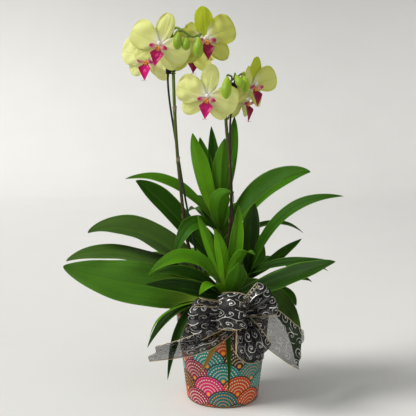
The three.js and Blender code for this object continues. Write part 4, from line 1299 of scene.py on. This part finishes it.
class PlantSizes(bpy.types.PropertyGroup):
    """Thicknesses of the two kinds of leaf, and the stakes' radius"""

    leaf: size_property("Leaf", "Thickness of a companion leaf", 0.0008)
    orchid_leaf: size_property("Orchid leaf", "Thickness of an orchid leaf", 0.0022)
    stake: size_property("Stake", "Radius of a stake", 0.0015)


class RibbonSizes(bpy.types.PropertyGroup):
    """Width and thickness of the ribbon, and its edge wire's radius"""

    width: size_property("Width", "Width of the ribbon", 0.0635)
    cloth: size_property("Thickness", "Thickness of the cloth", 0.0003)
    wire: size_property("Wire", "Radius of the edge wire", 0.00055)


class Colours(bpy.types.PropertyGroup):
    """The colours that set the look of each finish"""

    leaf: colour_property("Leaf", "Upper face of a companion leaf", (0.03, 0.122, 0.001))
    orchid_leaf: colour_property(
        "Orchid leaf", "Upper face of an orchid leaf", (0.058, 0.125, 0.017)
    )
    tepal: colour_property("Tepal", "Pale ground of the tepals", (0.76, 0.79, 0.33))
    tepal_green: colour_property(
        "Tepal green", "Rim and veins of the tepals", (0.41, 0.43, 0.035)
    )
    lip: colour_property("Lip", "Bright colour of the lip", (0.60, 0.004, 0.17))
    lip_deep: colour_property("Lip deep", "Deep colour of the lip", (0.24, 0.0005, 0.035))
    ribbon: colour_property("Ribbon", "Net of the ribbon", (0.006, 0.0055, 0.006))
    scroll: colour_property("Print", "Printed scroll on the ribbon", (0.66, 0.65, 0.62))
    wire: colour_property("Wire", "Edge wire of the ribbon", (0.66, 0.54, 0.32))
    stage: colour_property("Stage", "Floor and backdrop", (0.765, 0.765, 0.745))


def mm(length):
    """A setting in metres, in the tables' millimetres."""
    return length / MM


# ---------------------------------------------------------------- operators

# Where the camera stands, how far it is tipped from straight down, in degrees, and its lens.
EYE, TIP, LENS = (-0.0218, -1.3, 0.4685), 82.0, 77.885
# Each lamp: the way its light comes from, how wide its disc is in degrees, its strength and colour.
LAMPS = {
    "key": ((-1.5, -0.55, 1.35), 24, 3.2, (1.0, 0.985, 0.96)),
    "fill": ((0.3, -1.6, 0.9), 70, 0.55, (0.97, 0.985, 1.0)),
}
# The floor is flat to this distance and then rises in a quarter turn of this radius.
FLAT, RISE = 2.3, 1.0


class ORCHID_OT_stage(bpy.types.Operator):
    """Camera, soft lights and a plain pale floor that rises far away all round"""

    bl_idname = "orchid.stage"
    bl_label = "Stage"

    def execute(self, context):
        sides = 96
        camera = bpy.data.cameras.new("camera")
        camera.sensor_width = 36.0
        camera.lens = LENS
        seat = bpy.data.objects.new("camera", camera)
        seat.location = EYE
        seat.rotation_euler = (np.radians(TIP), 0, 0)
        context.collection.objects.link(seat)
        context.scene.camera = seat
        bend = eased(24)[1:] * np.pi / 2
        profile = [(0.4, 0), (1.2, 0), (FLAT, 0)]
        profile += [(FLAT + RISE * np.sin(a), RISE * (1 - np.cos(a))) for a in bend]
        profile += [(FLAT + RISE, 1.15 * RISE)]
        rings = turned(profile, sides)
        way = unit(rings[-1, :, :2])
        rings[..., :2] *= (way**8).sum(1)[:, None] ** -0.125  # a round plan made nearly square
        index = np.arange(rings.shape[0] * sides).reshape(-1, sides)
        index = np.hstack([index, index[:, :1]])
        fan = np.stack([np.full(sides, rings.size // 3), index[0, :-1], index[0, 1:]], -1)
        mesh = bpy.data.meshes.new("floor")
        points = np.vstack([rings.reshape(-1, 3), [(0, 0, 0)]])
        mesh.from_pydata(points.tolist(), [], quads(index).tolist() + fan.tolist())
        mesh.shade_smooth()
        mesh.materials.append(stage_finish(tuple(context.scene.colours.stage)))
        floor = bpy.data.objects.new("floor", mesh)
        context.collection.objects.link(floor)
        for name, (place, wide, energy, colour) in LAMPS.items():
            lamp = bpy.data.lights.new(name, "SUN")
            lamp.angle, lamp.energy, lamp.color = np.radians(wide), energy, colour
            holder = bpy.data.objects.new(name, lamp)
            holder.location = place
            x, y, z = place
            holder.rotation_euler = (np.arctan2(np.hypot(x, y), z), 0, np.arctan2(x, -y))
            context.collection.objects.link(holder)
        world = bpy.data.worlds.new("room")
        world.use_nodes = True
        world.node_tree.nodes["Background"].inputs[0].default_value = (1.0, 0.99, 0.97, 1)
        world.node_tree.nodes["Background"].inputs[1].default_value = 0.31
        context.scene.world = world
        context.scene.view_settings.view_transform = "Standard"
        return {"FINISHED"}


class ORCHID_OT_pot(bpy.types.Operator):
    """Cover pot: its profile turned about Z, smooth, with a rounded foot and rim"""

    bl_idname = "orchid.pot"
    bl_label = "Pot"

    def execute(self, context):
        sizes = context.scene.pot_sizes
        top, wall, corner = FOOT + mm(sizes.height), mm(sizes.wall), 6.5
        sides, floor = 168, FOOT + 6
        centre = pot_radius(FOOT + corner) - corner
        turn = np.linspace(0, np.pi / 2, 9)
        foot = np.stack([centre + corner * np.sin(turn), FOOT + corner * (1 - np.cos(turn))], -1)
        up = np.linspace(FOOT + corner + 4, top - wall / 2, 28)
        outer = np.stack([pot_radius(up), up], -1)
        over, half = np.linspace(0, np.pi, 11)[1:-1], wall / 2
        rim = np.stack(
            [pot_radius(top) - half + half * np.cos(over), top - half * (1 - np.sin(over))], -1
        )
        down = np.linspace(top - wall / 2, floor, 14)
        inner = np.stack([pot_radius(down) - wall, down], -1)
        start = [(8, FOOT), (30, FOOT)]
        profile = np.vstack([start, foot, outer, rim, inner, [(30, floor), (4, floor)]])
        form = Form()
        form.ringed(turned(profile, sides))
        first = len(start) + len(foot) + len(outer) + 4
        inside = np.arange(len(profile)) >= first
        form.values[0][: sides * len(profile), 2] = np.repeat(inside, sides)
        form.values[0][-1, 2] = 1
        form.piece("pot_glazed", pot_finish(), ["pot"], "pot", 40)
        return {"FINISHED"}


class ORCHID_OT_potting_mix(bpy.types.Operator):
    """Potting mix: a crowned, uneven top with bark chips scattered on it by a seeded draw"""

    bl_idname = "orchid.potting_mix"
    bl_label = "Potting mix"

    def execute(self, context):
        sizes = context.scene.pot_sizes
        play = mm(sizes.wall) + 0.4
        reach = pot_radius(MIX_LEVEL) - play
        r = np.linspace(1.5, reach, 46)
        top = np.stack([r, 0 * r], -1)[::-1]
        wall = [(pot_radius(z) - play, z) for z in (20, 60, 100)]
        rings = turned(np.vstack([[(4, 20)], wall, top]), 144)
        fall = rings[4:]
        x, y = fall[..., 0], fall[..., 1]

        def crown(x, y):
            """The mix's height at a place: highest in the middle, falling with distance squared."""
            return MIX_LEVEL + MIX_CROWN * (1 - (x**2 + y**2) / reach**2)

        fall[..., 2] = crown(x, y) + 0.9 * ripples(x, y, 13, 3) + 0.6 * ripples(x, y, 5, 4) - 1.2
        form = Form()
        form.ringed(rings, tone=0.15)
        draw = np.random.default_rng(11)
        count = sizes.chips
        lump = egg(1, 1, 5, 8, 0.4)
        ball = lump.reshape(-1, 3)
        size = draw.uniform((3.5, 2.2, 1.0), (8.5, 4.4, 2.1), (count, 3))
        chips = ball * size[:, None] * draw.uniform(0.8, 1.15, (count, len(ball), 1))
        spin, tilt = draw.uniform(0, TAU, count), draw.normal(0, 0.22, count)
        cos, sin = np.cos(spin)[:, None], np.sin(spin)[:, None]
        lean = chips[..., 2] + chips[..., 0] * tilt[:, None]
        radius = np.sqrt(draw.uniform(0, 1, count)) * (reach - 9)
        where = draw.uniform(0, TAU, count)
        px, py = (radius * np.cos(where))[:, None], (radius * np.sin(where))[:, None]
        height = crown(px, py) + draw.uniform(0.0, 1.5, (count, 1))
        x, y = chips[..., 0], chips[..., 1]
        chips = np.stack([px + x * cos - y * sin, py + x * sin + y * cos, height + lean], -1)
        for chip, tone in zip(chips, draw.uniform(0.2, 1, count)):
            form.ringed(chip.reshape(lump.shape), tone=tone)
        form.piece("potting_bark", mix_finish(), ["potting_mix"], "potting_mix", 60)
        return {"FINISHED"}


class ORCHID_OT_leaves(bpy.types.Operator):
    """The orchid's strap leaves and the five shoots of the companion plant"""

    bl_idname = "orchid.leaves"
    bl_label = "Leaves"

    def execute(self, context):
        sizes, colours = context.scene.plant_sizes, context.scene.colours
        form = Form()
        shoot(form, "orchid", mm(sizes.orchid_leaf), STRAP, 40)
        look = LEAF_LOOKS["orchid_leaf"]
        finish = leaf_finish("orchid_leaf", tuple(colours.orchid_leaf), **look)
        form.piece("orchid_leaf_blades", finish, ["orchid_leaves"], "orchid_leaf")
        look = LEAF_LOOKS["companion_leaf"]
        finish = leaf_finish("companion_leaf", tuple(colours.leaf), **look)
        for seed, name in enumerate(("upright", "front", "right", "back", "trailing")):
            form = Form()
            shoot(form, name, mm(sizes.leaf), LANCE, 100 + 30 * seed)
            form.piece(f"shoot_{name}_blades", finish, [f"shoot_{name}"], "companion_leaf")
        return {"FINISHED"}


class ORCHID_OT_spikes(bpy.types.Operator):
    """Flower spikes with their buds, their stakes, the claw clips and the tie of twine"""

    bl_idname = "orchid.spikes"
    bl_label = "Spikes and stakes"

    def execute(self, context):
        radius = mm(context.scene.plant_sizes.stake)
        living, black = spike_finish(), plain_finish("clip_black")
        for side, slot in (("left", "stake_green"), ("right", "stake_brown")):
            form = Form()
            spike(form, side)
            form.piece(f"spike_{side}_stem", living, [f"spike_{side}"], "spike")
            path = smooth_path(STAKES[side], 160)
            point = np.clip((np.linspace(0, 1, len(path)) - 0.985) / 0.015, 0, 1)
            form = Form()
            form.ringed(tube(path, radius * (1 - 0.5 * point), 14))
            form.piece(f"stake_{side}_rod", plain_finish(slot), [f"stake_{side}"], slot)
            form = Form()
            self.claw(form, side)
            form.piece(f"clip_{side}_claw", black, [f"clip_{side}"], "clip")
        form = Form()
        self.twine(form)
        form.piece("stem_tie_twine", plain_finish("twine"), ["stem_tie"], "tie")
        return {"FINISHED"}

    def claw(self, form, side):
        """Two curved jaws of three fingers each that close round stem and stake, a spring between
        them and two grips that stand out behind."""
        z, reach = CLIPS[side]
        stem, stake = at_height(SPIKES[side], z), at_height(STAKES[side], z)
        middle = (stem + stake) / 2
        out = unit((stake - stem) * (1, 1, 0))
        back = np.array([-out[1], out[0], 0.0])
        if back[1] < 0:
            back = -back
        spare = 3.4 if side == "right" else 2.8
        long, short = np.linalg.norm(stake - stem) / 2 + spare, spare
        axis = np.array([0, 0, 1.0])
        for way in (-1, 1):
            for level in (-0.42, 0, 0.42):
                angle = np.linspace(0.12, 0.92 * np.pi, 22)
                line = (
                    middle + np.outer(long * np.sin(angle), way * out)
                    + np.outer(short * np.cos(angle), back) + axis * level * reach
                )
                girth = np.interp(angle, [0, 2, np.pi], [1.0, 0.9, 0.45])
                form.ringed(tube(line, girth, 10))
            t, u = eased(12)[:, None], np.linspace(-1, 1, 9)
            root = middle + back * short
            grip = (
                root + way * out * (0.6 + 3.2 * t + 0 * u)[..., None]
                + back * (5.2 * t**0.7 + 0 * u)[..., None]
                + axis * (0.5 * reach * (1.05 - 0.35 * t) * u)[..., None]
            )
            form.shell(grip, 1.1)
            t = np.linspace(0, 1, 12)[:, None]
            spine = middle + back * short + way * out * 0.9 + axis * (t - 0.5) * reach * 0.95
            form.ringed(tube(spine, 1.1, 10))
        turn = np.linspace(0, 8 * TAU, 180)
        coil = (
            middle + back * (short + 2.2)
            + np.outer(1.2 * np.cos(turn), out) + np.outer(1.2 * np.sin(turn), back)
            + np.outer((turn / turn[-1] - 0.5) * reach * 0.7, axis)
        )
        form.ringed(tube(coil, 0.28, 6))

    def twine(self, form):
        """Three turns of twine round stem and stake, a knot in front and two short ends."""
        stem, stake = (at_height(line["right"], TIE_HEIGHT) for line in (SPIKES, STAKES))
        middle, spread = (stem + stake) / 2, np.linalg.norm(stake - stem) / 2
        angle = np.linspace(0, 3 * TAU, 200)
        climb = 2.6 * (angle / angle[-1] - 0.5)
        coil = middle + np.stack(
            [3.3 * np.cos(angle), (spread + 3.3) * np.sin(angle), climb], -1
        )
        form.ringed(tube(coil, 0.55, 9))
        knot = middle + (1, -spread - 4.2, 0)
        turn = np.linspace(0, TAU, 60, endpoint=False)
        trefoil = np.stack(
            [
                np.sin(turn) + 2 * np.sin(2 * turn),
                0.8 * np.sin(3 * turn),
                np.cos(turn) - 2 * np.cos(2 * turn),
            ], -1,
        )
        form.ringed(tube(knot + 0.62 * np.vstack([trefoil, trefoil[:1]]), 0.62, 9))
        for way, drop in ((-1, 9), (1, 13)):
            end = knot + [(0, 0, 0), (way * 1.6, -1.2, -2), (way * 2.4, -0.6, -drop)]
            form.ringed(tube(smooth_path(end, 20), 0.5, 8))


class ORCHID_OT_flowers(bpy.types.Operator):
    """Seven flowers, each with its tepals and column as one piece and its lip as another"""

    bl_idname = "orchid.flowers"
    bl_label = "Flowers"

    def execute(self, context):
        colours = context.scene.colours
        tepals = tepal_finish(tuple(colours.tepal), tuple(colours.tepal_green))
        lips = lip_finish(tuple(colours.lip_deep), tuple(colours.lip))
        for name in FLOWERS:
            form = Form()
            flower_tepals(form, name)
            form.piece(f"flower_{name}_petals", tepals, [f"flower_{name}_tepals"], "tepal")
            form = Form()
            flower_lip(form, name)
            form.piece(f"flower_{name}_labellum", lips, [f"flower_{name}_lip"], "lip")
        return {"FINISHED"}


class ORCHID_OT_ribbon(bpy.types.Operator):
    """Organza ribbon: the band round the pot, the knot, five loops, two tails and edge wires"""

    bl_idname = "orchid.ribbon"
    bl_label = "Ribbon"

    def execute(self, context):
        sizes, colours = context.scene.ribbon_sizes, context.scene.colours
        self.width, self.cloth = mm(sizes.width), mm(sizes.cloth)
        self.net = ribbon_finish(tuple(colours.ribbon), tuple(colours.scroll))
        self.gilt = wire_finish(tuple(colours.wire))
        self.wire = mm(sizes.wire)
        self.band()
        self.knot()
        for seed, (name, plan) in enumerate(LOOPS.items()):
            grid = loop_grid(*plan, self.width, seed + 1)
            self.sheet(f"loop_{name}", grid, [f"ribbon_loop_{name}"], "gathered")
        for seed, (name, plan) in enumerate(TAILS.items()):
            grid = tail_grid(*plan, self.width, seed + 20)
            self.sheet(name.replace("ribbon_", ""), grid, [name], "gathered")
        return {"FINISHED"}

    def sheet(self, name, grid, nodes, held):
        """One length of ribbon as a thin closed sheet."""
        form = Form()
        form.shell(grid, self.cloth, uv=cloth_uv(grid, self.width))
        made = form.piece(f"organza_{name}", self.net, nodes, "ribbon", 80)
        lines = [smooth_path(line[::3], 150) for line in (grid[:, 0], grid[:, -1])]
        edges = wired(lines, self.wire).piece(f"wire_{name}", self.gilt, (), "ribbon")

    def band(self):
        """The band on the pot: its low edge is drawn up in a bell-shaped notch at the front, where
        pleats fan out from the knot. Elsewhere it is slightly slack."""
        sides, rows = 336, 30
        angle = np.linspace(0, TAU, sides, endpoint=False) - np.pi / 2
        notch = np.arctan2(-1, 0.04)
        off = np.mod(angle - notch + np.pi, TAU) - np.pi
        spread = np.where(off < 0, 0.55, 0.24)
        low = 75 - 5 * np.sin(off) + 50 * np.exp(-((np.abs(off) / spread) ** 1.2))
        high = FOOT + mm(bpy.context.scene.pot_sizes.height) - 3
        v = np.linspace(0, 1, rows)[:, None]
        z = low + (high - low) * v
        x = pot_radius(z) * off
        near = np.exp(-((off / 0.5) ** 2))
        fan = np.arctan2(x - 18, 165 - z)
        pleat = 1.5 * near * (0.5 + 0.5 * np.sin(fan * 22))
        slack = 0.5 * (1 + ripples(x, z + 0 * x, 34, 8)) + 0.25 * (1 + ripples(x, z, 11, 9))
        lift = 0.5 + pleat + 0.55 * np.clip(slack, 0, 3)
        radius = pot_radius(z) + lift
        outer = np.stack([radius * np.cos(angle), radius * np.sin(angle), z + 0 * x], -1)
        inner = outer - np.stack([np.cos(angle), np.sin(angle), 0 * angle], -1) * self.cloth
        form = Form()
        arc = (np.linspace(0, TAU, sides + 1) * 66)[None, :]
        drop = np.concatenate([v, v[::-1], v[:1]]) * self.width
        uv = np.stack(np.broadcast_arrays(arc, drop), -1) * MM
        form.ringed(np.concatenate([outer, inner[::-1]]), closed=True, uv=uv)
        made = form.piece("organza_band", self.net, ["ribbon_band"], "ribbon", 80)
        lines = [np.vstack([outer[row], outer[row, :1]]) for row in (0, -1)]
        edges = wired(lines, self.wire, True).piece("wire_band", self.gilt, (), "ribbon")

    def knot(self):
        """The knot: an egg with rings of pleats that swirl round it, its radius sin(pi t)^0.8, and
        a gathered neck down to the band."""
        form = Form()
        t = eased(40)[1:-1]
        angle = np.linspace(0, TAU, 72, endpoint=False)
        swirl = 9 * np.pi * t[:, None] + 0.6 * np.sin(angle)
        girth = np.sin(np.pi * t)[:, None] ** 0.8 * (1 + 0.06 * np.sin(swirl))
        length = 1.12 * -np.cos(np.pi * t)[:, None] + 0 * angle
        rings = KNOT_RADIUS * np.stack(
            [length, girth * np.cos(angle), girth * np.sin(angle)], -1
        )
        lean = np.radians(24)
        turn = np.array(
            [[np.cos(lean), 0, np.sin(lean)], [0, 1, 0], [-np.sin(lean), 0, np.cos(lean)]]
        )
        uv = np.stack(np.meshgrid(t * 30, np.linspace(0, 47, 73), indexing="ij"), -1) * MM
        form.ringed(rings @ turn.T + KNOT_CENTRE, uv=uv)
        path = smooth_path(KNOT_NECK, 30)
        folds = 1 + 0.16 * np.sin(6 * np.linspace(0, TAU, 40, endpoint=False))
        form.ringed(tube(path, np.linspace(3.6, 4.4, 30)[:, None] * folds, 40))
        form.piece("organza_knot", self.net, ["ribbon_knot"], "ribbon", 80)


class ORCHID_PT_panel(bpy.types.Panel):
    """The pieces of the potted orchid"""

    bl_idname = "ORCHID_PT_panel"
    bl_label = "Potted orchid"
    bl_space_type = "VIEW_3D"
    bl_region_type = "UI"
    bl_category = "Orchid"

    def draw(self, context):
        for maker in MAKERS:
            self.layout.operator(maker.bl_idname)


MAKERS = (
    ORCHID_OT_stage,
    ORCHID_OT_pot,
    ORCHID_OT_potting_mix,
    ORCHID_OT_leaves,
    ORCHID_OT_spikes,
    ORCHID_OT_flowers,
    ORCHID_OT_ribbon,
)
SETTINGS = {
    "pot_sizes": PotSizes,
    "plant_sizes": PlantSizes,
    "ribbon_sizes": RibbonSizes,
    "colours": Colours,
}


def register():
    """Adds the settings, the operators and the panel."""
    for kind in (*SETTINGS.values(), *MAKERS, ORCHID_PT_panel):
        bpy.utils.register_class(kind)
    for name, kind in SETTINGS.items():
        setattr(bpy.types.Scene, name, PointerProperty(type=kind))


def unregister():
    """Takes them away again."""
    for name in SETTINGS:
        delattr(bpy.types.Scene, name)
    for kind in reversed((*SETTINGS.values(), *MAKERS, ORCHID_PT_panel)):
        bpy.utils.unregister_class(kind)


def main():
    """Makes every piece in order."""
    register()
    for maker in MAKERS:
        family, name = maker.bl_idname.split(".")
        getattr(getattr(bpy.ops, family), name)()


if __name__ == "__main__":
    main()
